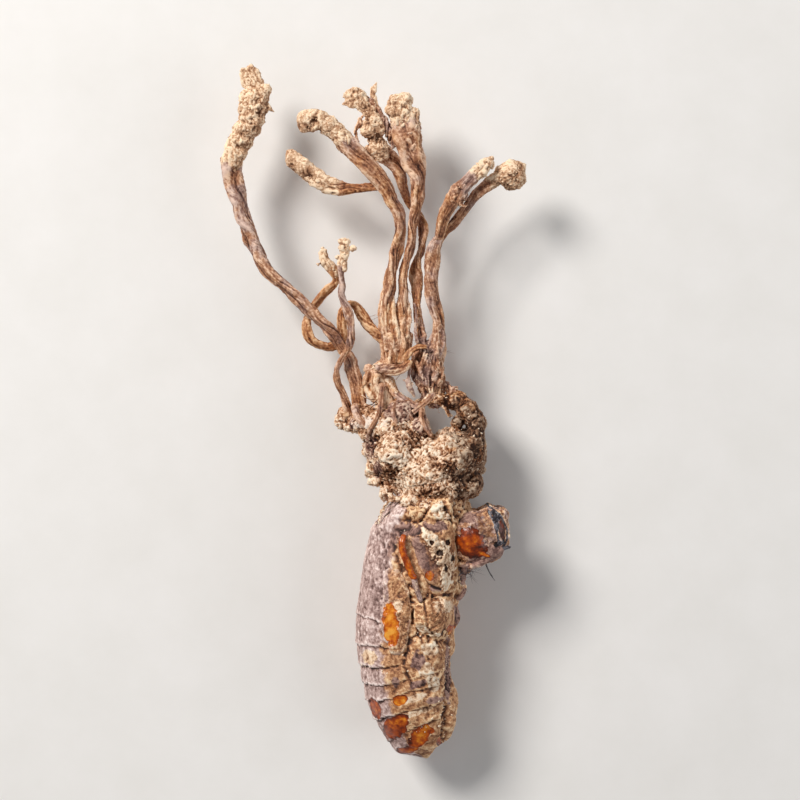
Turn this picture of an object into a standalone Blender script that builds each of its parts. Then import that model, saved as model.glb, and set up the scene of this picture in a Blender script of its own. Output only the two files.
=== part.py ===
"""A dried cicada-nymph cordyceps: a mummified nymph with a fungal crust over its head and a tuft of stalks.

It lies on its side. +X is towards the nymph's belly, +Y towards the stalk heads and +Z up, away from the
surface that it rests on. The origin is at the bottom centre of its bounding box. Lengths are millimetres,
made metres by MM when a mesh is finished.
"""

import math

import bmesh
import bpy
from mathutils import Matrix, Vector, noise
from mathutils.kdtree import KDTree

MM = 0.001

# The clear gap between two pieces that grew against each other.
GAP = 0.2

# The nymph: 29 mm of it shows below the crust. It lies on one side. Heights are given with its middle plane
# at MIDDLE_HEIGHT, and LIFT then raises the whole specimen until the limbs under it rest on the surface.
MIDDLE_HEIGHT = 5.5
LIFT = 0.65
FLANK_DEPTH = 5.72
BODY_SIDES = 24

# How round the body's section is across it and up it, where 1 is an ellipse and less is squarer.
ROUND_ACROSS = 0.92
ROUND_UP = 0.88

# How far the body's two ends bulge beyond their last sections.
HEAD_BULGE = 0.5
TAIL_BULGE = 0.15

# Sections of the body from the head to the tail: place along Y, back edge, belly edge, half depth, tilt.
BODY_SECTIONS = [
    (-6.3, 4.8, 8.0, 2.6, 0), (-7.4, 3.2, 9.4, 4.2, 0), (-9.2, 2.6, 10.3, 5.1, 0), (-10.9, 1.2, 10.6, 5.4, 0),
    (-12.5, 0.1, 10.4, 5.6, 0), (-15.2, -0.7, 10.0, FLANK_DEPTH, 0), (-18.0, -1.2, 9.5, FLANK_DEPTH, 0),
    (-20.8, -1.7, 9.2, FLANK_DEPTH, 0), (-23.2, -2.0, 9.0, FLANK_DEPTH, 0), (-25.4, -1.9, 8.6, 5.6, 2),
    (-28.4, -1.4, 8.3, 5.4, 4), (-31.6, -0.6, 8.8, 4.8, 9), (-33.7, 0.5, 9.1, 4.1, 12),
    (-35.6, 1.8, 8.8, 3.1, 16), (-36.7, 2.6, 8.4, 2.5, 18), (-37.5, 3.5, 7.7, 1.7, 18),
    (-37.9, 4.5, 6.8, 0.8, 18),
]

# The rear edges of the rings, which lap over the next, by how much, and over what length the skin steps in.
RING_EDGES = (-26.0, -27.9, -30.2, -32.5, -34.7)
RING_LIP = 0.2
RING_STEP = 0.4

# The furrow along each flank, between the plates of the back and those of the belly.
FURROW_ANGLE = 75
FURROW_START = -23.0
FURROW_DEPTH = 0.4

# The dried skin's wrinkles.
WRINKLE_DEPTH = 0.22
WRINKLE_SIZE = 2.2

# The stalks' skin moves in and out by this share of their radius, in waves of this size.
STALK_ROUGHNESS = 0.12
ROUGHNESS_SIZE = 0.9

# A stalk's route, from the tip of its head to its foot: x, y, z, radius.
TALL_STALK = [
    (-13.8, 38.0, 6.6, 0.55), (-13.9, 37.2, 6.6, 0.95), (-13.6, 36.2, 6.6, 1.1), (-12.9, 34.9, 6.6, 1.55),
    (-13.3, 33.2, 6.6, 1.7), (-13.5, 31.9, 6.5, 1.55), (-14.4, 30.6, 6.4, 1.5), (-15.0, 29.2, 6.3, 1.3),
    (-15.6, 27.9, 6.2, 1.25), (-15.7, 26.6, 6.2, 1.1), (-15.4, 25.0, 6.2, 0.98), (-14.6, 22.2, 6.2, 0.95),
    (-13.8, 20.0, 6.3, 0.9), (-12.9, 17.8, 6.4, 0.85), (-11.7, 15.6, 6.7, 0.78), (-9.7, 13.8, 6.9, 0.68),
    (-7.5, 11.6, 7.0, 0.7), (-5.4, 9.6, 7.0, 0.62), (-3.8, 7.5, 6.7, 0.56), (-2.7, 5.9, 6.3, 0.55),
    (-2.4, 4.6, 6.1, 0.64), (-1.9, 3.0, 5.9, 0.6), (-1.7, 1.1, 5.8, 0.6), (-1.6, -0.4, 5.8, 0.55),
]
LOOP_STALK = [
    (-5.6, 17.9, 7.6, 0.3), (-5.4, 17.0, 7.6, 0.58), (-5.0, 16.2, 7.5, 0.62), (-4.4, 15.4, 7.4, 0.5),
    (-4.1, 14.7, 7.2, 0.4), (-4.4, 14.0, 7.0, 0.42), (-5.3, 13.2, 6.7, 0.5), (-6.2, 12.2, 6.0, 0.5),
    (-6.9, 11.3, 5.5, 0.42), (-7.3, 10.3, 5.3, 0.42), (-7.4, 9.2, 5.3, 0.48), (-7.0, 8.1, 5.3, 0.5),
    (-6.2, 7.5, 5.2, 0.48), (-5.0, 7.2, 5.0, 0.48), (-4.0, 7.5, 4.9, 0.46), (-3.4, 8.4, 5.0, 0.45),
    (-3.5, 9.7, 5.3, 0.48), (-3.4, 11.0, 5.6, 0.42), (-2.8, 11.8, 5.9, 0.4), (-2.0, 11.7, 6.0, 0.46),
    (-1.3, 10.7, 6.1, 0.6), (-0.4, 9.4, 6.1, 0.65), (0.6, 8.3, 6.1, 0.6), (1.4, 7.6, 6.1, 0.5),
]
TWISTED_STALK = [
    (-3.0, 18.9, 8.6, 0.35), (-3.1, 18.2, 8.6, 0.75), (-3.2, 17.1, 8.5, 0.6), (-3.5, 15.8, 8.4, 0.45),
    (-3.5, 14.7, 8.3, 0.36), (-3.4, 13.8, 8.2, 0.42), (-3.5, 12.9, 8.1, 0.42), (-3.2, 12.0, 8.0, 0.36),
    (-2.8, 11.0, 7.9, 0.4), (-2.5, 9.7, 7.9, 0.33), (-2.5, 8.1, 7.9, 0.34), (-2.8, 6.9, 7.8, 0.32),
    (-3.4, 6.0, 7.6, 0.32), (-3.9, 5.0, 7.3, 0.36), (-4.1, 4.0, 7.0, 0.38), (-3.9, 3.0, 6.7, 0.36),
    (-3.4, 2.1, 6.4, 0.34), (-3.0, 1.0, 6.1, 0.34), (-2.7, -0.2, 5.8, 0.34),
]
ARCHED_STALK = [
    (-8.0, 31.5, 8.4, 0.7), (-7.2, 31.9, 8.4, 1.2), (-5.9, 31.9, 8.4, 1.15), (-4.8, 31.2, 8.3, 1.1),
    (-3.7, 30.3, 8.2, 1.08), (-2.9, 29.3, 8.2, 0.98), (-1.7, 28.1, 8.2, 0.84), (-0.6, 27.0, 8.1, 0.86),
    (0.4, 25.9, 8.0, 0.86), (1.3, 24.7, 7.8, 0.84), (1.9, 23.3, 7.6, 0.8), (2.6, 22.0, 7.5, 0.74),
    (2.9, 20.7, 7.4, 0.66), (2.8, 19.3, 7.3, 0.66), (2.4, 17.3, 7.2, 0.66), (1.9, 15.3, 7.0, 0.68),
    (1.7, 13.4, 6.8, 0.76), (1.4, 11.8, 6.7, 0.68), (1.35, 10.1, 6.6, 0.64), (1.7, 8.8, 6.5, 0.6),
]
SIDE_STALK = [
    (-9.5, 27.9, 6.4, 0.7), (-8.9, 27.7, 6.4, 1.0), (-8.1, 27.2, 6.4, 1.1), (-7.0, 26.3, 6.4, 1.1),
    (-5.9, 25.5, 6.5, 1.05), (-4.6, 24.9, 6.6, 0.85), (-3.1, 24.6, 6.7, 0.68), (-1.8, 24.6, 6.8, 0.5),
    (-0.6, 24.7, 6.9, 0.44), (0.4, 24.7, 7.0, 0.42), (1.0, 24.6, 7.3, 0.4),
]
CLUSTER_STALK = [
    (-0.7, 32.0, 6.8, 0.8), (-0.3, 31.1, 6.7, 1.15), (0.3, 29.8, 6.5, 1.15), (0.8, 28.8, 6.2, 1.05),
    (1.7, 28.1, 5.8, 0.85), (2.4, 27.3, 5.4, 0.74), (2.9, 26.2, 5.1, 0.7), (3.2, 25.0, 4.9, 0.6),
    (3.6, 23.8, 4.9, 0.46), (4.1, 22.8, 5.0, 0.42), (4.8, 22.1, 5.2, 0.42), (5.3, 21.2, 5.3, 0.45),
    (5.5, 19.8, 5.4, 0.5), (5.3, 18.0, 5.4, 0.46), (4.9, 16.9, 5.4, 0.5), (4.6, 15.8, 5.4, 0.6),
    (4.6, 14.9, 5.5, 0.66), (4.7, 13.8, 5.6, 0.55), (4.7, 12.7, 5.8, 0.44), (4.7, 11.8, 5.9, 0.38),
    (4.8, 10.8, 6.0, 0.38), (5.0, 9.5, 6.0, 0.42), (5.2, 8.1, 6.0, 0.46), (5.3, 6.9, 6.0, 0.46),
]
CLUSTER_STRAP = [
    (-3.4, 34.6, 7.6, 0.5), (-2.6, 34.6, 7.6, 0.92), (-1.3, 33.9, 7.5, 0.92), (-0.4, 33.1, 7.3, 0.76),
    (0.3, 32.1, 7.0, 0.72), (0.6, 30.6, 6.8, 0.7),
]
CLUSTER_BLADE = [
    (0.3, 36.2, 6.6, 0.22), (-0.3, 35.2, 6.7, 0.4), (0.0, 34.1, 6.8, 0.42), (0.3, 32.6, 6.7, 0.5),
]
CENTRE_STALK = [
    (2.6, 35.2, 7.2, 0.7), (2.9, 34.3, 7.2, 1.15), (3.1, 33.0, 7.2, 1.45), (3.5, 31.7, 7.2, 1.5),
    (3.8, 30.3, 7.2, 1.35), (4.1, 28.8, 7.1, 1.2), (4.3, 27.7, 7.1, 1.15), (4.7, 26.5, 7.0, 0.98),
    (4.9, 25.2, 7.0, 0.76), (4.8, 23.3, 7.0, 0.66), (4.6, 22.2, 6.9, 0.58), (4.3, 20.9, 6.8, 0.52),
    (4.2, 19.5, 6.7, 0.54), (4.0, 17.8, 6.6, 0.58), (3.5, 16.2, 6.6, 0.56), (3.25, 14.7, 6.6, 0.6),
    (3.3, 13.4, 6.5, 0.6), (3.2, 12.0, 6.4, 0.66), (3.05, 10.3, 6.3, 0.74), (2.9, 8.8, 6.2, 0.66),
]
FORKED_STEM = [
    (7.15, 19.3, 7.4, 0.4), (7.0, 18.6, 7.3, 0.58), (6.6, 17.7, 7.2, 0.74), (6.5, 16.7, 7.1, 0.75),
    (6.4, 15.2, 7.0, 0.68), (6.4, 13.6, 6.8, 0.68), (6.6, 12.3, 6.7, 0.66), (6.9, 11.2, 6.6, 0.62),
    (7.2, 10.1, 6.5, 0.58), (7.15, 8.8, 6.4, 0.66), (7.1, 7.2, 6.2, 0.84), (6.8, 5.6, 6.0, 0.8),
]
INNER_BRANCH = [
    (12.9, 28.0, 8.4, 0.5), (12.6, 27.3, 8.4, 0.85), (11.9, 26.5, 8.2, 0.82), (11.2, 25.9, 8.1, 0.66),
    (10.4, 25.2, 8.0, 0.58), (9.6, 24.4, 7.9, 0.78), (9.0, 23.6, 7.9, 0.88), (8.3, 22.6, 7.9, 0.72),
    (7.8, 21.6, 7.8, 0.64), (7.4, 20.2, 7.7, 0.52), (7.15, 19.2, 7.6, 0.4),
]
OUTER_BRANCH = [
    (17.0, 26.4, 6.9, 0.6), (16.6, 26.4, 6.9, 1.1), (15.9, 26.3, 6.9, 1.6), (15.1, 26.1, 6.9, 1.76),
    (14.3, 26.0, 6.9, 1.6), (13.5, 25.6, 6.9, 0.95), (13.0, 25.2, 6.8, 0.7), (12.2, 24.6, 6.7, 0.55),
    (11.3, 23.9, 6.5, 0.48), (10.5, 22.9, 6.4, 0.45), (9.7, 21.9, 6.4, 0.5), (9.0, 20.9, 6.5, 0.48),
    (8.1, 20.0, 6.8, 0.4), (7.5, 19.2, 7.1, 0.38), (7.1, 18.6, 7.3, 0.36),
]
CENTRE_COLUMN = [
    (2.4, 9.4, 6.4, 0.9), (2.45, 8.9, 6.35, 1.4), (2.55, 8.0, 6.3, 1.5), (2.5, 6.8, 6.2, 1.35),
    (2.1, 5.6, 6.1, 1.15), (1.4, 4.5, 6.0, 1.25), (0.6, 3.2, 5.9, 1.4), (0.4, 1.8, 5.8, 1.35),
    (0.5, 0.3, 5.7, 1.3), (0.8, -1.0, 5.7, 1.0),
]
RIGHT_COLUMN = [
    (6.0, 7.6, 6.1, 0.9), (5.9, 7.0, 6.1, 1.5), (5.8, 5.6, 6.1, 1.6), (5.9, 4.1, 6.0, 1.5),
    (6.2, 2.7, 6.0, 1.45), (6.6, 1.5, 6.0, 1.35), (6.9, 0.6, 6.0, 1.0),
]
COLLAR_STRAND = [
    (0.0, 5.1, 7.5, 0.35), (0.7, 4.8, 7.8, 0.45), (1.6, 4.6, 8.0, 0.52), (2.5, 4.55, 8.1, 0.52),
    (3.3, 4.85, 8.0, 0.45), (3.8, 5.7, 7.9, 0.36), (4.3, 6.5, 7.9, 0.34), (5.0, 7.1, 8.0, 0.3),
]

# Lumps of the crust: centre x, y, z, then half sizes along x, y, z.
CRUST_LUMPS = [
    (6.0, -6.2, 5.5, 5.5, 3.7, 6.3), (9.0, -4.8, 5.5, 3.4, 3.0, 5.4), (2.6, -4.4, 5.5, 3.3, 3.2, 6.3),
    (7.0, -8.4, 5.5, 4.6, 2.0, 6.0), (1.3, -1.8, 5.6, 3.3, 2.4, 4.2), (2.9, -0.2, 5.4, 2.1, 1.9, 3.4),
    (-3.2, -0.7, 5.3, 1.2, 1.5, 1.2), (-1.8, -1.4, 5.4, 1.4, 1.2, 1.8), (-0.9, -0.7, 5.6, 1.4, 1.8, 2.2),
    (5.0, 0.6, 5.8, 0.75, 1.3, 1.6), (4.9, -1.8, 5.7, 1.3, 1.5, 3.0), (6.9, 1.3, 6.0, 1.7, 0.75, 1.8),
    (9.0, 1.2, 6.0, 1.3, 1.1, 2.0), (10.3, 0.2, 5.9, 1.3, 1.3, 2.5), (11.3, -1.5, 5.8, 1.2, 1.5, 2.9),
    (10.9, -3.5, 5.7, 1.6, 1.7, 4.0), (9.1, -1.4, 5.5, 0.7, 0.75, 1.0), (7.2, -3.7, 5.6, 2.3, 1.2, 4.4),
    (0.3, -7.6, 6.3, 1.1, 0.7, 1.2), (-0.5, -6.2, 5.4, 1.1, 1.1, 2.2), (11.9, -6.4, 5.8, 0.6, 0.5, 0.8),
    (10.9, -8.0, 5.6, 1.2, 1.8, 3.6), (3.8, -8.6, 5.8, 1.3, 1.0, 3.8),
]

# The crust's skin: the voxel that its lumps grow together in, its bumps and its number of triangles.
CRUST_SKIN = dict(voxel=0.35, triangles=1540, bumps=0.6, bump_size=1.5, seed=11.0)

# A lump's skin has bumps of a second size, this many times smaller.
FINE_BUMPS = 2.3

# The arch's right-hand opening, a widening hole through the crust from front to back.
ARCH_X = 7.0
ARCH_Y = -1.0
ARCH_RADIUS = 1.25
ARCH_FLARE = 1.1
ARCH_LENGTH = 16

# The slab that trims what would reach below the surface that the specimen lies on.
SLAB_SIZE = (80, 120, 20)

# Near-side legs and wing pad; each far-side piece is its mirror image.
FORELEG_LUMPS = [
    (10.7, -13.5, 8.2, 2.1, 3.0, 2.2), (12.8, -12.7, 8.1, 2.0, 2.4, 2.1), (12.1, -15.0, 8.1, 2.1, 1.4, 1.8),
    (14.1, -14.4, 8.0, 0.9, 0.8, 1.0), (10.0, -17.0, 7.9, 0.8, 1.2, 1.3),
]
FORELEG_SKIN = dict(voxel=0.3, triangles=240, bumps=0.18, bump_size=1.6, seed=4.0)
FORELEG_CLAW = [(12.8, -14.9, 8.0, 0.9), (14.0, -14.7, 8.0, 0.6), (15.0, -14.9, 8.0, 0.22)]

# The crust gives way to the forelegs by this much, which leaves the gap all round their bumps.
FORELEG_ROOM = 0.4
FORELEG_ROOM_SKIN = dict(voxel=0.3, triangles=200)
MIDDLE_FEMUR = [
    (5.3, -12.0, 10.5, 0.8), (6.0, -14.0, 10.8, 1.5), (6.8, -16.3, 10.8, 1.7), (7.6, -18.4, 10.4, 1.5),
    (8.2, -19.8, 10.0, 0.8),
]
MIDDLE_SHIN = [
    (3.2, -12.9, 11.0, 0.35), (3.1, -14.4, 11.2, 0.5), (3.6, -16.2, 11.3, 0.5), (4.4, -17.8, 11.2, 0.5),
    (5.0, -19.6, 10.9, 0.6), (6.2, -20.4, 10.6, 0.7), (7.8, -19.8, 10.2, 0.7),
]
HIND_LEG = [
    (5.3, -22.0, 10.9, 0.6), (6.5, -22.4, 10.8, 1.05), (7.8, -22.9, 10.3, 1.25), (8.9, -23.5, 9.4, 1.05),
    (9.4, -24.5, 8.8, 0.6),
]
WING_PAD = [
    (2.3, -17.0, 11.0, 0.7), (2.3, -18.2, 11.15, 1.15), (2.3, -20.2, 11.2, 1.4), (2.3, -22.6, 11.2, 1.45),
    (2.5, -24.6, 11.1, 1.1), (2.6, -25.8, 10.9, 0.5),
]

# Edges that turn by more than this many degrees stay crisp when the skin is shaded smooth.
CRISP_ANGLE = 50


def clear_scene():
    for obj in list(bpy.data.objects):
        bpy.data.objects.remove(obj, do_unlink=True)


def make_collections():
    """The part's collection, and one for the cutters and profiles that only shape it."""
    part = bpy.data.collections.new("cordyceps_bundle")
    helpers = bpy.data.collections.new("cutters")
    for collection in (part, helpers):
        bpy.context.scene.collection.children.link(collection)
    helpers.hide_render = True
    return part, helpers


def make_material(name, colour, roughness):
    material = bpy.data.materials.new(name)
    material.use_nodes = True
    shader = material.node_tree.nodes["Principled BSDF"]
    shader.inputs["Base Color"].default_value = (*colour, 1.0)
    shader.inputs["Roughness"].default_value = roughness
    shader.inputs["Metallic"].default_value = 0.0
    return material


def evaluated_mesh(obj):
    graph = bpy.context.evaluated_depsgraph_get()
    return bpy.data.meshes.new_from_object(obj.evaluated_get(graph))


def new_object(name, mesh, collection):
    obj = bpy.data.objects.new(name, mesh)
    collection.objects.link(obj)
    return obj


def as_helper(obj):
    obj.hide_render = True
    obj.display_type = "WIRE"
    return obj


def apply_modifiers(obj):
    mesh = evaluated_mesh(obj)
    obj.modifiers.clear()
    old = obj.data
    obj.data = mesh
    bpy.data.meshes.remove(old)


def keep_largest_island(mesh):
    """Deletes every loose crumb but the biggest body, and turns its faces out."""
    form = bmesh.new()
    form.from_mesh(mesh)
    bmesh.ops.triangulate(form, faces=form.faces)
    left = set(form.faces)
    islands = []
    while left:
        start = left.pop()
        island = {start}
        rim = [start]
        while rim:
            face = rim.pop()
            for edge in face.edges:
                beside = [other for other in edge.link_faces if other in left]
                if len(edge.link_faces) == 2 and beside:
                    left.discard(beside[0])
                    island.add(beside[0])
                    rim.append(beside[0])
        islands.append(island)
    largest = max(islands, key=len)
    crumbs = [face for face in form.faces if face not in largest]
    bmesh.ops.delete(form, geom=crumbs, context="FACES")
    bmesh.ops.recalc_face_normals(form, faces=form.faces)
    form.to_mesh(mesh)
    form.free()


def boolean(target, other, operation):
    modifier = target.modifiers.new("Boolean", "BOOLEAN")
    modifier.operation = operation
    modifier.solver = "EXACT"
    modifier.object = other
    apply_modifiers(target)
    keep_largest_island(target.data)


def catmull_rom(before, start, end, after, t):
    """A point of the smooth curve between start and end, for values or vectors alike."""
    return 0.5 * (
        2 * start
        + (end - before) * t
        + (2 * before - 5 * start + 4 * end - after) * t**2
        + (3 * start - before - 3 * end + after) * t**3
    )


def smooth_route(route, spacing):
    """Points and radii along a smooth curve through the route, about one for each spacing of its length."""
    points = [Vector(stop[:3]) for stop in route]
    radii = [stop[3] for stop in route]
    found = []
    for i in range(len(route) - 1):
        i0 = max(i - 1, 0)
        i3 = min(i + 2, len(route) - 1)
        steps = max(1, round((points[i + 1] - points[i]).length / spacing))
        for step in range(steps):
            t = step / steps
            place = catmull_rom(points[i0], points[i], points[i + 1], points[i3], t)
            radius = catmull_rom(radii[i0], radii[i], radii[i + 1], radii[i3], t)
            found.append((place, radius))
    found.append((points[-1], radii[-1]))
    return found


def longer_route(route, extra):
    """The route with both its ends carried on by the extra length."""
    if not extra:
        return route
    longer = list(route)
    for end, inner in ((0, 1), (-1, -2)):
        tip = Vector(route[end][:3])
        tip += (tip - Vector(route[inner][:3])).normalized() * extra
        longer[end] = (*tip, route[end][3])
    return longer


def lobed_profile(helpers, sides, lobes, depth, flatness):
    """A closed outline of unit radius with shallow lobes, which a stalk's curve carries along its route."""
    curve = bpy.data.curves.new("lobed_profile", "CURVE")
    curve.dimensions = "2D"
    spline = curve.splines.new("POLY")
    spline.points.add(sides - 1)
    for i in range(sides):
        angle = 2 * math.pi * i / sides
        radius = 1.0 + depth * math.cos(lobes * angle)
        spline.points[i].co = (radius * math.cos(angle), radius * math.sin(angle) * flatness, 0, 1)
    spline.use_cyclic_u = True
    return as_helper(new_object("lobed_profile", curve, helpers))


def strand_mesh(helpers, route, grow=0.0, spacing=1.15, sides=9, lobes=3, depth=0.12, turns=0.0,
                flatness=1.0, level=False):
    """A stalk as a mesh in millimetres: a lobed outline swept along the route, turning as it goes."""
    profile = lobed_profile(helpers, sides, lobes, depth, flatness)
    curve = bpy.data.curves.new("strand", "CURVE")
    curve.dimensions = "3D"
    curve.twist_mode = "Z_UP" if level else "MINIMUM"
    curve.bevel_mode = "OBJECT"
    curve.bevel_object = profile
    curve.use_fill_caps = True
    stops = smooth_route(longer_route(route, grow), spacing)
    spline = curve.splines.new("POLY")
    spline.points.add(len(stops) - 1)
    for i, (place, radius) in enumerate(stops):
        spline.points[i].co = (*place, 1)
        spline.points[i].radius = radius + grow
        spline.points[i].tilt = 2 * math.pi * turns * i / (len(stops) - 1)
    guide = new_object("strand", curve, helpers)
    mesh = evaluated_mesh(guide)
    bpy.data.objects.remove(guide)
    bpy.data.objects.remove(profile)
    form = bmesh.new()
    form.from_mesh(mesh)
    bmesh.ops.remove_doubles(form, verts=form.verts, dist=0.0001)
    bmesh.ops.triangulate(form, faces=[face for face in form.faces if len(face.verts) > 4])
    bmesh.ops.recalc_face_normals(form, faces=form.faces)
    form.to_mesh(mesh)
    form.free()
    return mesh


def roughen(mesh, route, seed, head_stops, head_bumps):
    """Moves the skin in and out by a share of the local radius, more on the head than on the stalk.

    The head reaches over the route's first stops.
    """
    tree = KDTree(len(route))
    for i, stop in enumerate(route):
        tree.insert(stop[:3], i)
    tree.balance()
    offset = Vector((seed, 2 * seed, 3 * seed))
    form = bmesh.new()
    form.from_mesh(mesh)
    form.normal_update()
    moves = []
    for vert in form.verts:
        index = tree.find(vert.co)[1]
        share = head_bumps if index < head_stops else STALK_ROUGHNESS
        wave = noise.noise(vert.co / ROUGHNESS_SIZE + offset)
        moves.append(vert.normal * wave * share * route[index][3])
    for vert, move in zip(form.verts, moves):
        vert.co += move
    form.to_mesh(mesh)
    form.free()


def lump_mesh(helpers, lumps, voxel, triangles, bumps=0.0, bump_size=1.5, seed=0.0):
    """Egg-shaped lumps grown into one skin, with bumps and pits, kept to a number of triangles."""
    form = bmesh.new()
    for x, y, z, half_x, half_y, half_z in lumps:
        place = Matrix.Translation((x, y, z)) @ Matrix.Diagonal((half_x, half_y, half_z, 1.0))
        bmesh.ops.create_icosphere(form, subdivisions=3, radius=1.0, matrix=place)
    mesh = bpy.data.meshes.new("lumps")
    form.to_mesh(mesh)
    form.free()
    obj = new_object("lumps", mesh, helpers)
    remesh = obj.modifiers.new("Remesh", "REMESH")
    remesh.mode = "VOXEL"
    remesh.voxel_size = voxel
    soften = obj.modifiers.new("Smooth", "SMOOTH")
    soften.factor = 0.5
    soften.iterations = 3
    apply_modifiers(obj)
    form = bmesh.new()
    form.from_mesh(obj.data)
    form.normal_update()
    offset = Vector((seed, seed, seed))
    moves = []
    for vert in form.verts:
        coarse = noise.noise(vert.co / bump_size + offset)
        fine = noise.noise(vert.co * FINE_BUMPS / bump_size - offset)
        moves.append(vert.normal * bumps * (coarse + 0.5 * fine))
    for vert, move in zip(form.verts, moves):
        vert.co += move
    form.to_mesh(obj.data)
    faces = sum(len(face.verts) - 2 for face in form.faces)
    form.free()
    decimate = obj.modifiers.new("Decimate", "DECIMATE")
    decimate.ratio = triangles / faces
    apply_modifiers(obj)
    keep_largest_island(obj.data)
    mesh = obj.data
    bpy.data.objects.remove(obj)
    return mesh


def body_section(section, swell):
    """One ring of the nymph's body, a rounded oval across it, tilted as the abdomen curls to the belly."""
    y, back, belly, half_depth, tilt = section
    middle = (back + belly) / 2
    half_width = (belly - back) / 2 + swell
    slope = math.tan(math.radians(tilt))
    ring = []
    for i in range(BODY_SIDES):
        angle = 2 * math.pi * i / BODY_SIDES
        across = math.cos(angle)
        up = math.sin(angle)
        across = math.copysign(abs(across) ** ROUND_ACROSS, across)
        up = math.copysign(abs(up) ** ROUND_UP, up)
        x = half_width * across
        z = (half_depth + swell) * up
        off_furrow = abs(abs(math.degrees(math.atan2(up, across))) - FURROW_ANGLE)
        if y < FURROW_START and off_furrow < 180 / BODY_SIDES:
            sink = 1 - FURROW_DEPTH / half_depth
            x *= sink
            z *= sink
        ring.append(Vector((middle + x, y + x * slope, MIDDLE_HEIGHT + z)))
    return ring


def section_at(y):
    """The body's section at any place between the head and the tail."""
    for upper, lower in zip(BODY_SECTIONS, BODY_SECTIONS[1:]):
        if lower[0] <= y <= upper[0]:
            share = (upper[0] - y) / (upper[0] - lower[0])
            return tuple(a + (b - a) * share for a, b in zip(upper, lower))
    return BODY_SECTIONS[-1]


def body_rows():
    """Each section with how far it swells. At a ring's edge a proud row is followed by a sunk one."""
    rows = []
    for section in BODY_SECTIONS:
        if all(abs(section[0] - edge) > RING_STEP for edge in RING_EDGES):
            rows.append((section, 0.0))
    for edge in RING_EDGES:
        rows.append((section_at(edge), RING_LIP))
        rows.append((section_at(edge - RING_STEP), -RING_LIP))
    return sorted(rows, key=lambda row: -row[0][0])


def wrinkled(point):
    """The point moved a little from the body's axis or to it, as the dried skin is."""
    axis = Vector((sum(section_at(point.y)[1:3]) / 2, point.y, MIDDLE_HEIGHT))
    outward = (point - axis).normalized()
    return point + outward * WRINKLE_DEPTH * noise.noise(point / WRINKLE_SIZE)


def body_mesh(grow=0.0):
    """The body, lofted through its rows, all of it grown outward for a cutter."""
    rings = [body_section(section, swell + grow) for section, swell in body_rows()]
    rings = [[wrinkled(point) for point in ring] for ring in rings]
    for ring, shift in ((rings[0], grow), (rings[-1], -grow)):
        for point in ring:
            point.y += shift
    form = bmesh.new()
    rows = [[form.verts.new(point) for point in ring] for ring in rings]
    for upper, lower in zip(rows, rows[1:]):
        for i in range(BODY_SIDES):
            j = (i + 1) % BODY_SIDES
            form.faces.new((upper[i], upper[j], lower[j], lower[i]))
    for row, shift in ((rows[0], HEAD_BULGE), (rows[-1], -TAIL_BULGE)):
        centre = sum((vert.co for vert in row), Vector()) / BODY_SIDES
        tip = form.verts.new(centre + Vector((0, shift, 0)))
        for i in range(BODY_SIDES):
            form.faces.new((row[i], row[(i + 1) % BODY_SIDES], tip))
    bmesh.ops.recalc_face_normals(form, faces=form.faces)
    mesh = bpy.data.meshes.new("nymph_body")
    form.to_mesh(mesh)
    form.free()
    return mesh


def far_side(lumps_or_route):
    """The same stops or lumps mirrored across the nymph's middle plane."""
    return [(x, y, 2 * MIDDLE_HEIGHT - z, *rest) for x, y, z, *rest in lumps_or_route]


def surface_cutter(helpers):
    """A slab below the surface that the specimen rests on."""
    mesh = bpy.data.meshes.new("below_surface")
    form = bmesh.new()
    place = Matrix.Translation((0, 0, -SLAB_SIZE[2] / 2 - LIFT)) @ Matrix.Diagonal((*SLAB_SIZE, 1))
    bmesh.ops.create_cube(form, size=1.0, matrix=place)
    form.to_mesh(mesh)
    form.free()
    return as_helper(new_object("below_surface", mesh, helpers))


def arch_cutter(helpers):
    mesh = bpy.data.meshes.new("arch_opening")
    form = bmesh.new()
    bmesh.ops.create_cone(form, cap_ends=True, segments=10, radius1=ARCH_RADIUS,
                          radius2=ARCH_RADIUS * ARCH_FLARE, depth=ARCH_LENGTH,
                          matrix=Matrix.Translation((ARCH_X, ARCH_Y, MIDDLE_HEIGHT)))
    form.to_mesh(mesh)
    form.free()
    return as_helper(new_object("arch_opening", mesh, helpers))


def cutter_from(helpers, mesh):
    return as_helper(new_object("cutter", mesh, helpers))


def carve(target, cutters):
    for cutter in cutters:
        boolean(target, cutter, "DIFFERENCE")


def dress(obj, material):
    """Leaves the object with its own material alone, whatever its cutters brought."""
    obj.data.materials.clear()
    obj.data.materials.append(material)


def foreleg_mesh(helpers, side):
    thigh = new_object("thigh", lump_mesh(helpers, side(FORELEG_LUMPS), **FORELEG_SKIN), helpers)
    claw = cutter_from(helpers, strand_mesh(helpers, side(FORELEG_CLAW), spacing=0.8, sides=6))
    boolean(thigh, claw, "UNION")
    mesh = thigh.data
    bpy.data.objects.remove(thigh)
    return mesh


def middle_leg_mesh(helpers, side):
    femur = new_object("femur", strand_mesh(helpers, side(MIDDLE_FEMUR), sides=8, depth=0.0, flatness=0.6,
                                            level=True), helpers)
    shin = cutter_from(helpers, strand_mesh(helpers, side(MIDDLE_SHIN), sides=6, depth=0.0))
    boolean(femur, shin, "UNION")
    mesh = femur.data
    bpy.data.objects.remove(femur)
    return mesh


def hind_leg_mesh(helpers, side):
    return strand_mesh(helpers, side(HIND_LEG), sides=8, depth=0.0, flatness=0.75, level=True)


def wing_pad_mesh(helpers, side):
    return strand_mesh(helpers, side(WING_PAD), sides=8, depth=0.0, flatness=0.42, level=True, spacing=0.9)


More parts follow.
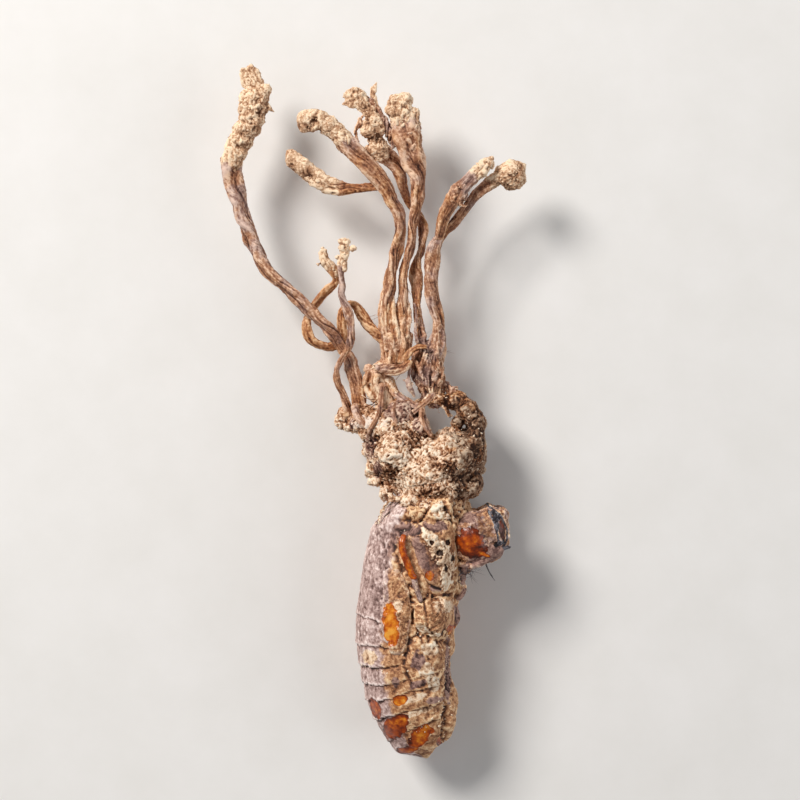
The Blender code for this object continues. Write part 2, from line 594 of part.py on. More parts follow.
def make_insect(part, helpers, husk, amber, surface):
    """The body, then each limb, cut to lie against the body's flank with the gap between them."""
    body = new_object("nymph_body", body_mesh(), part)
    carve(body, [surface])
    dress(body, husk)
    flank = cutter_from(helpers, body_mesh(GAP))
    limbs = (
        ("foreleg", foreleg_mesh, amber),
        ("middle_leg", middle_leg_mesh, husk),
        ("hind_leg", hind_leg_mesh, husk),
        ("wing_pad", wing_pad_mesh, husk),
    )
    for side_name, side in (("near", list), ("far", far_side)):
        for name, mesh_of, material in limbs:
            obj = new_object(f"{name}_{side_name}", mesh_of(helpers, side), part)
            carve(obj, [flank, surface])
            dress(obj, material)


# Each grown piece's route, the outline swept along it, and how many of its stops are head, with what bumps.
STALKS = {
    "stalk_tall": (TALL_STALK, dict(turns=1.2, lobes=3), dict(head_stops=9, head_bumps=0.55)),
    "stalk_loop": (LOOP_STALK, dict(turns=1.5, lobes=2, depth=0.2, sides=7),
                   dict(head_stops=4, head_bumps=0.4)),
    "stalk_twisted": (TWISTED_STALK, dict(turns=2.0, lobes=2, depth=0.2, sides=7),
                      dict(head_stops=3, head_bumps=0.5)),
    "stalk_arched": (ARCHED_STALK, dict(turns=0.8, lobes=3), dict(head_stops=6, head_bumps=0.45)),
    "stalk_side": (SIDE_STALK, dict(turns=0.4, lobes=3), dict(head_stops=6, head_bumps=0.4)),
    "stalk_cluster": (CLUSTER_STALK, dict(turns=1.3, lobes=2, depth=0.18, sides=7),
                      dict(head_stops=5, head_bumps=0.6)),
    "stalk_centre": (CENTRE_STALK, dict(turns=0.9, lobes=3), dict(head_stops=6, head_bumps=0.5)),
    "stalk_forked": (FORKED_STEM, dict(turns=0.8, lobes=3), dict(head_stops=0, head_bumps=0.0)),
    "branch_inner": (INNER_BRANCH, dict(turns=0.6, lobes=3), dict(head_stops=4, head_bumps=0.4)),
    "branch_outer": (OUTER_BRANCH, dict(turns=0.6, lobes=2, depth=0.1, spacing=0.8),
                     dict(head_stops=6, head_bumps=0.4)),
    "column_centre": (CENTRE_COLUMN, dict(turns=0.5, lobes=4, depth=0.12, sides=10),
                      dict(head_stops=0, head_bumps=0.0)),
    "column_right": (RIGHT_COLUMN, dict(turns=0.3, lobes=4, depth=0.14, sides=10),
                     dict(head_stops=0, head_bumps=0.0)),
    "strand_collar": (COLLAR_STRAND, dict(turns=0.5, lobes=2, sides=7, spacing=0.9),
                      dict(head_stops=0, head_bumps=0.0)),
}

# Which grown pieces each stalk gives way to, where it starts from them or passes against them.
GIVES_WAY = {
    "stalk_arched": ("column_centre",),
    "stalk_centre": ("column_centre",),
    "stalk_loop": ("column_centre",),
    "stalk_side": ("stalk_arched",),
    "stalk_cluster": ("column_right",),
    "stalk_forked": ("column_right",),
    "branch_inner": ("stalk_forked",),
    "branch_outer": ("stalk_forked", "branch_inner"),
}

# Pieces whose feet stand in sockets in the crust.
ROOTED = ("stalk_tall", "stalk_twisted", "column_centre", "column_right")


def stalk_mesh(helpers, name, grow=0.0):
    """A stalk with its roughened skin. Grown by a gap, it is the cutter for what it stands in."""
    route, outline, head = STALKS[name]
    mesh = strand_mesh(helpers, route, grow=grow, **outline)
    seed = float(list(STALKS).index(name))
    roughen(mesh, route, seed, **head)
    return mesh


def make_stalk(part, helpers, name, material):
    obj = new_object(name, stalk_mesh(helpers, name), part)
    if name == "stalk_cluster":
        for extra, flatness in ((CLUSTER_STRAP, 0.7), (CLUSTER_BLADE, 0.6)):
            lobe = cutter_from(helpers, strand_mesh(helpers, extra, sides=8, flatness=flatness))
            boolean(obj, lobe, "UNION")
    carve(obj, [cutter_from(helpers, stalk_mesh(helpers, other, GAP)) for other in GIVES_WAY.get(name, ())])
    dress(obj, material)


def make_crust(part, helpers, material, surface):
    """The crust, with sockets for the nymph's head, its forelegs and each rooted stalk."""
    crust = new_object("fungus_crust", lump_mesh(helpers, CRUST_LUMPS, **CRUST_SKIN), part)
    cutters = [surface, arch_cutter(helpers), cutter_from(helpers, body_mesh(GAP))]
    for side in (list, far_side):
        room = side([grown(lump, FORELEG_ROOM) for lump in FORELEG_LUMPS])
        cutters.append(cutter_from(helpers, lump_mesh(helpers, room, **FORELEG_ROOM_SKIN)))
    cutters += [cutter_from(helpers, stalk_mesh(helpers, name, GAP)) for name in ROOTED]
    carve(crust, cutters)
    dress(crust, material)


def grown(lump, amount):
    x, y, z, half_x, half_y, half_z = lump
    return (x, y, z, half_x + amount, half_y + amount, half_z + amount)


def finish(part):
    """Makes every mesh metres, shades it smooth and hangs it on the specimen's empty."""
    specimen = bpy.data.objects.new("specimen", None)
    part.objects.link(specimen)
    for obj in list(part.objects):
        if obj.type != "MESH":
            continue
        obj.data.transform(Matrix.Scale(MM, 4) @ Matrix.Translation((0, 0, LIFT)))
        obj.data.shade_smooth()
        obj.data.set_sharp_from_angle(angle=math.radians(CRISP_ANGLE))
        obj.parent = specimen


def main():
    clear_scene()
    part, helpers = make_collections()
    husk = make_material("nymph_husk", (0.36, 0.27, 0.21), 0.6)
    amber = make_material("amber_chitin", (0.42, 0.16, 0.05), 0.35)
    crust_skin = make_material("crust_skin", (0.52, 0.40, 0.28), 0.9)
    stalk_skin = make_material("stalk_skin", (0.38, 0.24, 0.15), 0.8)
    surface = surface_cutter(helpers)
    make_insect(part, helpers, husk, amber, surface)
    make_crust(part, helpers, crust_skin, surface)
    for name in STALKS:
        make_stalk(part, helpers, name, stalk_skin)
    finish(part)


main()
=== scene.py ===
"""A dried cicada-nymph cordyceps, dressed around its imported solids.

Lengths in the lists are millimetres, as in the part; MM makes a finished mesh metres. The pieces are drawn
with the nymph's middle plane at MIDDLE_HEIGHT and raised by LIFT, as the part is. X runs from the nymph's
back to its belly, Y from its tail to the stalk heads and Z up, out of its near flank. Each list of lumps
holds x, y, z, three half sizes and maybe a turn about Z in degrees, each route holds x, y, z and a radius,
each outline holds x and y, and each list of spots holds x, y, half x, half y and maybe a turn.
"""

import math

import bmesh
import bpy
import numpy as np
from mathutils import Matrix, Vector


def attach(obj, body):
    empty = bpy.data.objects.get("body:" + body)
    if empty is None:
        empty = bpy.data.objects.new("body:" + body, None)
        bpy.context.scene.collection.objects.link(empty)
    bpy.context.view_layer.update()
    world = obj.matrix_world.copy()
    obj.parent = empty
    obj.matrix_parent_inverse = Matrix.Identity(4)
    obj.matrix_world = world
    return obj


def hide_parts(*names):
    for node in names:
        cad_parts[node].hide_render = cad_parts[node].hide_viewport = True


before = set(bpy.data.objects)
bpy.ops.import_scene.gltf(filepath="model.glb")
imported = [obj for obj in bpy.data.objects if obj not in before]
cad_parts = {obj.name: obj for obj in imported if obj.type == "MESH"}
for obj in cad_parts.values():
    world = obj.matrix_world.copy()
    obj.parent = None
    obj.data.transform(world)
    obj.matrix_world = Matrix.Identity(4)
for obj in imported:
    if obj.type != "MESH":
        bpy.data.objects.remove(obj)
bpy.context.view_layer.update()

MM = 0.001
MIDDLE_HEIGHT = 5.5
LIFT = 0.65

FINE = 1.0
HEAD_VOXEL = 0.09
COLUMN_VOXEL = 0.106
CRUST_VOXEL = 0.12
FORELEG_VOXEL = 0.098
BODY_STEP = 0.125
BODY_SIDES = 240
PLATE_STEP = 0.11
PLATE_ROWS = 46

# How many rounds of evening tell what stands out, and the height in millimetres that counts as much
RELIEF = {"fine": (5, 0.07), "ridge": (36, 0.34)}


# Repeatable noise, worked out for whole arrays of points at once

def hashed(cell, seed):
    """A repeatable value from 0 to 1 for each whole-number cell."""
    mixed = cell[..., 0] * 73856093 ^ cell[..., 1] * 19349663 ^ cell[..., 2] * 83492791 ^ (seed * 2654435761)
    mixed = (mixed ^ (mixed >> 13)) * 1274126177 & 0xFFFFFFFF
    mixed = (mixed ^ (mixed >> 16)) * 668265263 & 0xFFFFFFFF
    return ((mixed ^ (mixed >> 15)) & 0xFFFFFF) / float(0xFFFFFF)


def wave(points, seed):
    """Smooth gradient noise, from about -1 to 1, with features one unit across."""
    base = np.floor(points).astype(np.int64)
    part = points - base
    share = part**3 * (part * (part * 6 - 15) + 10)
    total = 0.0
    for corner in np.ndindex(2, 2, 2):
        weight = 1.0
        slope = 0.0
        for axis, far in enumerate(corner):
            weight = weight * (share[..., axis] if far else 1 - share[..., axis])
            lean = hashed(base + np.array(corner), seed * 3 + axis + 1) * 2 - 1
            slope = slope + lean * (part[..., axis] - far)
        total = total + weight * slope
    return total * 1.5


def layered(points, octaves, seed, gain=0.5):
    """Several sizes of wave on top of each other."""
    return sum(gain**k * wave(points * 2.03**k + k * 7.7, seed + k) for k in range(octaves))


def drift(points, seed, octaves=1):
    """A shift in X, Y and Z that wanders from place to place."""
    return np.stack([layered(points + 5 * k, octaves, seed + k) for k in range(3)], axis=-1)


def lumpy(points, seed):
    """Rounded lumps from -0.3 to about 0.7, parted by sharp crevices."""
    return np.abs(wave(points + 0.35 * wave(points * 0.9 + 4.1, seed + 31)[..., None], seed)) - 0.3


def ease(low, high, value):
    """0 at low, 1 at high, smooth between them and level beyond."""
    share = np.clip((value - low) / (high - low), 0, 1)
    return share * share * (3 - 2 * share)


def grains(points, seed):
    """Broken crumbs about one unit apart, 0 in the gaps and up to 1 on a crumb, and a value of each's own."""
    bent = points + 0.35 * drift(points * 1.6, seed)
    base = np.floor(bent).astype(np.int64)
    nearest = np.full(points.shape[:-1], 9.0)
    own = facet = 0.0
    for corner in np.ndindex(3, 3, 3):
        cell = base + np.array(corner) - 1
        lean = np.stack([hashed(cell, seed * 3 + axis + 1) for axis in range(3)], axis=-1)
        value = hashed(cell, seed + 91)
        offset = bent - cell - lean
        away = np.linalg.norm(offset, axis=-1) / (0.7 + 0.6 * value)
        closer = away < nearest
        nearest = np.where(closer, away, nearest)
        own = np.where(closer, value, own)
        facet = np.where(closer, (offset * (lean[..., ::-1] - 0.5)).sum(axis=-1), facet)
    return (1 - np.clip(nearest, 0, 1) ** 1.4) * (0.5 + 0.5 * own) + 0.9 * facet, own


def crumbled(points, seed):
    """Height in millimetres of a dry, powdery surface with fine crumbs, and the crumbs' own values."""
    crumbs, own = grains(points / 0.3, seed)
    height = 0.12 * crumbs + 0.06 * lumpy(points / 0.2, seed + 6) + 0.22 * layered(points, 3, seed + 9, 0.6)
    return height - 0.05, own


def flaky(points, seed):
    """Height in millimetres of a crust with ragged shelves, crumbs and pits, and the crumbs' own values."""
    bent = points + 0.4 * drift(points / 0.9, seed)
    levels = 3.2 * layered(bent / 1.7, 5, seed + 4, 0.62)
    shelf = (np.floor(levels) + ease(0.3, 0.7, levels - np.floor(levels))) / 3.2
    crumbs, own = grains(points / 0.34, seed + 9)
    larger, tone = grains(bent / 0.75, seed + 11)
    pits = ease(0.2, 0.42, wave(bent / 0.42 + 3.3, seed + 12))
    pits = pits * ease(-0.2, 0.3, wave(points / 1.5, seed + 14))
    height = 0.28 * shelf + 0.17 * crumbs + 0.1 * larger + 0.45 * layered(points / 2.8, 2, seed + 15)
    return height - 0.28 * pits - 0.1, 0.6 * own + 0.4 * tone


def barky(points, seed):
    """Height in millimetres of rough bark with its fibres along Y."""
    bent = points + 0.4 * wave(points / 2.5, seed + 8)[:, None]
    return (0.26 * lumpy(bent * (1 / 0.42, 1 / 3.2, 1 / 0.42), seed)
            + 0.1 * (grains(points / 0.45, seed + 3)[0] - 0.4)
            + 0.16 * layered(bent * (1 / 0.7, 1 / 1.6, 1 / 0.7), 3, seed + 5, 0.6)
            - 0.14 * ease(0.3, 0.5, wave(bent * (1 / 0.5, 1 / 1.1, 1 / 0.5), seed + 6)))


def spot(points, x, y, half_x, half_y, turn=0.0, seed=0, ragged=0.35, soft=0.3):
    """1 inside a ragged oval on either flank, as seen from above, and 0 outside it."""
    lean = math.radians(turn)
    dx = points[:, 0] - x
    dy = points[:, 1] - y
    across = (dx * math.cos(lean) + dy * math.sin(lean)) / half_x
    along = (dy * math.cos(lean) - dx * math.sin(lean)) / half_y
    reach = np.sqrt(across**2 + along**2) + ragged * layered(points / 0.7 + seed, 3, seed)
    return (1 - ease(1 - soft, 1 + soft, reach)) * ease(0.3, 1.2, np.abs(points[:, 2] - MIDDLE_HEIGHT))


def masked(points, spots, seed, ragged=0.35):
    """The most that any of the ragged spots covers each point."""
    found = [spot(points, *place, seed=seed + k, ragged=ragged) for k, place in enumerate(spots)]
    return np.max(found, axis=0)


def line(points, route, width, seed, sway=0.12):
    """1 on a wavering line seen from above, on either flank, and falling to 0 a width away from it."""
    bent = points[:, :2] + sway * np.stack([wave(points / 0.8, seed), wave(points / 0.8 + 9, seed)], axis=-1)
    stops = np.array(route, float)[:, :2]
    nearest = np.full(len(points), 99.0)
    for start, span in zip(stops, np.diff(stops, axis=0)):
        share = np.clip(((bent - start) @ span) / (span @ span), 0, 1)
        nearest = np.minimum(nearest, np.linalg.norm(bent - start - share[:, None] * span, axis=1))
    return np.exp(-((nearest / width) ** 2)) * ease(0.2, 1.0, np.abs(points[:, 2] - MIDDLE_HEIGHT))


# Turning arrays into pieces

def mesh_arrays(mesh):
    """A mesh's points and the outward direction at each."""
    points, normals = np.zeros((2, len(mesh.vertices) * 3))
    mesh.vertices.foreach_get("co", points)
    mesh.vertex_normals.foreach_get("vector", normals)
    return points.reshape(-1, 3), normals.reshape(-1, 3)


def stand_out(mesh, points, normals, rounds):
    """How far each point stands out of its surroundings, evened over so many rounds, in millimetres."""
    ends = np.empty(len(mesh.edges) * 2, np.int32)
    mesh.edges.foreach_get("vertices", ends)
    ends = ends.reshape(-1, 2)
    here, there = np.concatenate([ends, ends[:, ::-1]]).T
    links = np.maximum(np.bincount(here, minlength=len(points)), 1)[:, None]
    even = points
    for _ in range(rounds):
        total = np.stack([np.bincount(here, even[there, k], len(points)) for k in range(3)], axis=1)
        even = 0.5 * even + 0.5 * total / links
    return ((points - even) * normals).sum(axis=1)


def join_parts(parts):
    """One set of points, faces and marks from several."""
    starts = np.cumsum([0] + [len(points) for points, _, _ in parts]).tolist()
    faces = [tuple(index + start for index in face) for part, start in zip(parts, starts) for face in part[1]]
    names = dict.fromkeys(name for _, _, marks in parts for name in marks)
    marks = {name: np.concatenate([np.zeros(len(points)) + own.get(name, 0) for points, _, own in parts])
             for name in names}
    return np.concatenate([points for points, _, _ in parts]), faces, marks


def add_piece(name, parts, material, node):
    """A smooth piece on the specimen from (points, faces, marks) parts, in place of the solid it stands for.

    Each mark becomes a value at every point, for the material. Two more say how far the point stands out of
    what is close round it (fine) and of what lies further out (ridge); the materials paint crests paler and
    hollows darker by them, as painted highlight and painted shade.
    """
    points, faces, marks = join_parts(parts)
    mesh = bpy.data.meshes.new(name)
    mesh.from_pydata(points.tolist(), [], faces)
    points, normals = mesh_arrays(mesh)
    if normals[np.argmax(points[:, 2]), 2] < 0:
        mesh.flip_normals()
        normals = -normals
    for mark, (rounds, much) in RELIEF.items():
        marks[mark] = 0.5 + stand_out(mesh, points, normals, rounds) / much
    for mark, values in marks.items():
        layer = mesh.attributes.new(mark, "FLOAT", "POINT")
        layer.data.foreach_set("value", np.clip(values, 0, 1).astype(np.float32))
    mesh.transform(Matrix.Scale(MM, 4) @ Matrix.Translation((0, 0, LIFT)))
    mesh.shade_smooth()
    mesh.materials.append(material)
    piece = bpy.data.objects.new(name, mesh)
    bpy.context.scene.collection.objects.link(piece)
    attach(piece, "root")
    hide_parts(node)


def smooth_path(route, step, closed=False):
    """Evenly spaced rows of values along a smooth curve through the route, and the distance to each."""
    stops = np.array(route, float)
    if closed:
        stops = np.concatenate([stops[-1:], stops, stops[:2]])
    else:
        stops = np.concatenate([2 * stops[:1] - stops[1:2], stops, 2 * stops[-1:] - stops[-2:-1]])
    t = np.linspace(0, 1, 16, endpoint=False)[:, None]
    fine = [0.5 * (2 * b + (c - a) * t + (2 * a - 5 * b + 4 * c - d) * t**2 + (3 * b - a - 3 * c + d) * t**3)
            for a, b, c, d in zip(stops, stops[1:], stops[2:], stops[3:])]
    fine = np.concatenate(fine + [stops[-2:-1]])
    along = np.concatenate([[0], np.cumsum(np.linalg.norm(np.diff(fine[:, :3], axis=0), axis=1))])
    even = np.linspace(0, along[-1], max(3, int(along[-1] / step)))
    return np.stack([np.interp(even, along, column) for column in fine.T], axis=1), even


def path_frame(places):
    """The direction along the path at each place, the one to its side and the one up from the surface."""
    along = np.gradient(places, axis=0)
    along /= np.linalg.norm(along, axis=1)[:, None]
    side = np.cross(along, (0, 0, 1.0))
    side /= np.linalg.norm(side, axis=1)[:, None] + 1e-9
    return along, side, np.cross(side, along)


def tube_faces(rows, sides):
    """Faces of a closed tube whose rings follow each other, with a point after them at either end."""
    here = np.arange(rows * sides).reshape(rows, sides)
    beside = np.roll(here, -1, 1)
    count = np.full(sides, rows * sides)
    quads = np.stack([here[:-1], here[1:], beside[1:], beside[:-1]], axis=-1).reshape(-1, 4)
    caps = np.concatenate([np.stack([here[0], beside[0], count], axis=-1),
                           np.stack([beside[-1], here[-1], count + 1], axis=-1)])
    return [tuple(face) for face in quads.tolist() + caps.tolist()]


def simple_tube(route, sides, step, flat=1.0):
    """A plain round-ended tube along the route."""
    found, _ = smooth_path(route, step)
    places, radii = found[:, :3], found[:, 3, None]
    forward, side, up = path_frame(places)
    angle = np.linspace(0, 2 * math.pi, sides, endpoint=False)[None, :, None]
    outward = np.cos(angle) * side[:, None] + flat * np.sin(angle) * up[:, None]
    skin = places[:, None] + radii[..., None] * outward
    ends = [places[0] - forward[0] * radii[0] * 0.5, places[-1] + forward[-1] * radii[-1] * 0.5]
    return np.concatenate([skin.reshape(-1, 3), ends]), tube_faces(len(places), sides), {}


def strand(route, seed, twist=0.12, flat=0.82, head=0.0, fade=3.0, folds=0.17, sides=44, step=0.13,
           rust=(0.2, 0.6)):
    """A dried, folded stalk along its route; its first millimetres are powdery.

    twist is in turns for each 10 mm, flat is how thin the section is, folds is how deep its folds are as a
    share of the radius, head is the length of the powdery end, fade the length over which it ends, and rust
    how ruddy the stalk is at its head and at its foot.
    """
    found, along = smooth_path(route, step * FINE)
    places, radii = found[:, :3], found[:, 3]
    _, side, up = path_frame(places)
    angle = np.linspace(0, 2 * math.pi, int(sides / FINE), endpoint=False)[None, :]
    still = np.zeros_like(along)
    wander = wave(np.stack([along * 0.33, still + seed, still], axis=-1), seed)[:, None] * 1.3
    phase = angle - (twist * 2 * math.pi * along / 10.0)[:, None] - wander
    length = along[:, None] + 0 * angle
    ring = np.stack([np.cos(phase), np.sin(phase)], axis=-1)

    def spread(times, rate, shift=0.0):
        """Places for noise that runs round the stalk at one scale and along it at another."""
        return np.concatenate([ring * times + shift, length[..., None] * rate], axis=-1)

    def around(times, rate, offset):
        """Noise that runs round the stalk at one scale and along it at another, a little bent."""
        bent = 0.3 * wave(spread(times * 0.6, rate * 2.2) + offset, seed + 40)[..., None]
        return wave(spread(times, rate, bent) + seed * 1.37 + offset, seed + offset)

    oval = 1 + (1 - flat) * np.cos(2 * phase) + 0.08 * np.cos(3 * phase + 2 * wander)
    strength = ease(-0.5, 0.4, around(0.8, 0.22, 21))
    calm = 0.35 + 0.65 * ease(0.2, 0.7, length / along[-1])
    fold = (1 - ease(0.0, 0.24, np.abs(around(1.15, 0.09, 5)))) * (0.3 + 0.7 * strength) * calm
    pleat = (1 - ease(0.0, 0.26, np.abs(around(3.3, 0.22, 8)))) * (1 - 0.5 * strength) * calm
    wrinkle = around(7.0, 0.6, 12)
    on_head = (head > 0) * (1 - ease(head - fade / 2, head + fade / 2, length))
    dome = np.sqrt(np.clip(1 - (1 - np.clip(along / (radii[0] + 1e-6), 0, 1)) ** 2, 0.03, 1))
    swell = 0.16 * around(0.9, 0.3, 3) + 0.1 * layered(spread(1.5, 0.9) + seed, 2, seed + 60)
    form = oval * (1 + swell) - folds * fold - 0.45 * folds * pleat + 0.06 * wrinkle
    scale = (radii * dome)[:, None] * form * (1 - 0.2 * ease(head, head - fade, length) * (head > 0))
    outward = np.cos(angle)[..., None] * side[:, None] + np.sin(angle)[..., None] * up[:, None]
    skin = places[:, None] + outward * scale[..., None]
    shifted = skin + seed * 5.3
    flake = ease(0.25, 0.6, wave(shifted * (1 / 0.55, 1 / 1.1, 1 / 0.55), seed + 70))
    rough = (0.04 * layered(shifted / 0.3, 2, seed + 2) + 0.05 * flake
             + on_head * 0.9 * crumbled(shifted, seed)[0])
    skin = skin + outward * rough[..., None]
    # The folds are painted darker in the tone: painted shade.
    tone = 0.5 + 0.4 * around(1.6, 0.3, 15) + 0.3 * wrinkle - 0.35 * fold * (1 - on_head) + 0.25 * flake
    marks = {"tone": tone, "powder": on_head, "rust": rust[0] + (rust[1] - rust[0]) * length / along[-1]}
    marks = {name: np.append(values.ravel(), [values[0].mean(), values[-1].mean()])
             for name, values in marks.items()}
    points = np.concatenate([skin.reshape(-1, 3), [places[0], places[-1]]])
    return points, tube_faces(*length.shape), marks


def ball(subdivisions):
    """Points and faces of a ball of radius 1."""
    form = bmesh.new()
    bmesh.ops.create_icosphere(form, subdivisions=subdivisions, radius=1.0)
    points = np.array([vertex.co[:] for vertex in form.verts])
    faces = [tuple(vertex.index for vertex in face.verts) for face in form.faces]
    form.free()
    return points, faces


def grown_form(lumps, tubes, voxel, soften=3, flats=()):
    """Egg-shaped lumps and tubes grown into one skin: its points, faces and outward directions.

    Where the tubes aren't round, flats holds how thin each of them is.
    """
    shape, shape_faces = ball(4)
    parts = []
    for x, y, z, half_x, half_y, half_z, *turn in lumps:
        lean = np.array(Matrix.Rotation(math.radians(sum(turn)), 3, "Z"))
        parts.append((shape * (half_x, half_y, half_z) @ lean.T + (x, y, z), shape_faces, {}))
    parts += [simple_tube(route, 20, 0.2, flats[k] if flats else 1.0) for k, route in enumerate(tubes)]
    points, faces, _ = join_parts(parts)
    mesh = bpy.data.meshes.new("form")
    mesh.from_pydata(points.tolist(), [], faces)
    obj = bpy.data.objects.new("form", mesh)
    bpy.context.scene.collection.objects.link(obj)
    remesh = obj.modifiers.new("Remesh", "REMESH")
    remesh.mode = "VOXEL"
    remesh.voxel_size = voxel * FINE
    smooth = obj.modifiers.new("Smooth", "SMOOTH")
    smooth.factor = 0.5
    smooth.iterations = soften
    grown = bpy.data.meshes.new_from_object(obj.evaluated_get(bpy.context.evaluated_depsgraph_get()))
    points, normals = mesh_arrays(grown)
    faces = [tuple(face.vertices) for face in grown.polygons]
    bpy.data.objects.remove(obj)
    bpy.data.meshes.remove(mesh)
    bpy.data.meshes.remove(grown)
    return points, faces, normals


def head_form(lumps, seed, tubes=(), rough=0.6, pits=(), cover=1.0, bare=(0.0, 1.0), soften=26, flats=()):
    """A powdery stalk head: lumps and tubes grown together with a crumbled skin, wrinkled along Y.

    The powder thins out from the second to the first of the heights in bare. Each pit holds x, y, radius.
    """
    points, faces, normals = grown_form(lumps, tubes, HEAD_VOXEL, soften, flats)
    shifted = points + seed * 3.1
    height, own = crumbled(shifted, seed)
    powder = cover * ease(*bare, points[:, 1] + 0.8 * layered(points / 0.9, 2, seed + 33))
    spikes = 0.2 * ease(0.45, 0.8, wave(shifted / 0.2, seed + 20))
    spikes = spikes * ease(-0.2, 0.4, wave(shifted / 1.2, seed + 21))
    wrinkle = 1 - ease(0.0, 0.3, np.abs(wave(shifted * (1 / 0.6, 1 / 2.4, 1 / 0.6), seed + 30)))
    wrinkle = wrinkle * (1 - 0.75 * powder)
    move = rough * (height + spikes) - 0.22 * wrinkle + 0.12 * layered(shifted / 1.6, 2, seed + 25)
    # dark is painted shade in the wrinkles, with some random dark mottling; the pits below add more painted
    # shade.
    dark = 0.65 * wrinkle + 0.45 * rough * ease(0.2, 0.6, wave(shifted / 0.6, seed + 35))
    for x, y, radius in pits:
        away = np.hypot(points[:, 0] - x, points[:, 1] - y) / radius
        hollow = (1 - ease(0.1, 1.2, away + 0.6 * layered(points / 0.5, 3, seed))) * (normals[:, 2] > 0)
        dark = np.maximum(dark, 0.7 * hollow)
        move = move - 0.55 * radius * hollow
    # 0.3 * normals[:, 1] paints the side facing +Y, towards the key light, paler: painted light.
    tone = 0.6 * own + 0.2 + 0.8 * wave(points / 1.1, seed + 5) + 0.3 * normals[:, 1]
    marks = {"tone": tone, "powder": powder, "pit": dark, "rust": 0.35}
    return points + normals * move[:, None], faces, marks


def scattered(points, weight, count, low, high, seed, marks):
    """Loose crumbs of low to high radius on the points, more of them where the weight is more."""
    draw = np.random.default_rng(seed)
    chance = np.clip(weight, 0, 1) + 1e-9
    shape, shape_faces = ball(1)
    parts = []
    for pick in draw.choice(len(points), size=int(count / FINE), p=chance / chance.sum()):
        size = low + (high - low) * draw.random() ** 2.5
        stretch = np.array([draw.uniform(0.5, 1.5), draw.uniform(0.5, 1.0), draw.uniform(0.4, 1.0)])
        turn = np.array(Matrix.Rotation(draw.uniform(0, 6.28), 3, Vector(draw.normal(size=3)).normalized()))
        jitter = 1 + draw.uniform(-0.3, 0.3, (len(shape), 1))
        blob = (shape * jitter * stretch * size) @ turn.T + points[pick] + draw.normal(0, 0.02, 3)
        parts.append((blob, shape_faces, {}))
    grown, faces, _ = join_parts(parts)
    return grown, faces, marks


def hairs(starts, count, reach, radius, seed, marks):
    """Fine curved hairs that start near the given places, each a thin tapering tube."""
    draw = np.random.default_rng(seed)
    parts = []
    for _ in range(int(count / FINE)):
        place = np.array(starts[draw.integers(len(starts))], float) + draw.normal(0, 0.25, 3)
        way = draw.normal(0, 1, 3)
        way /= np.linalg.norm(way)
        bend = draw.normal(0, 0.7, 3)
        long = reach * draw.uniform(0.4, 1.2)
        route = [(*(place + way * long * share + bend * long * share * share), radius * (1.1 - share))
                 for share in (0, 0.33, 0.66, 1)]
        parts.append(simple_tube(route, 4, long / 7))
    grown, faces, _ = join_parts(parts)
    return grown, faces, marks


def wisp(route, seed, flat, marks):
    """A thin torn strand, roughened a little."""
    points, faces, _ = simple_tube(route, 16, 0.1, flat)
    return points + 0.09 * drift(points / 0.45, seed, 2), faces, marks


# Materials

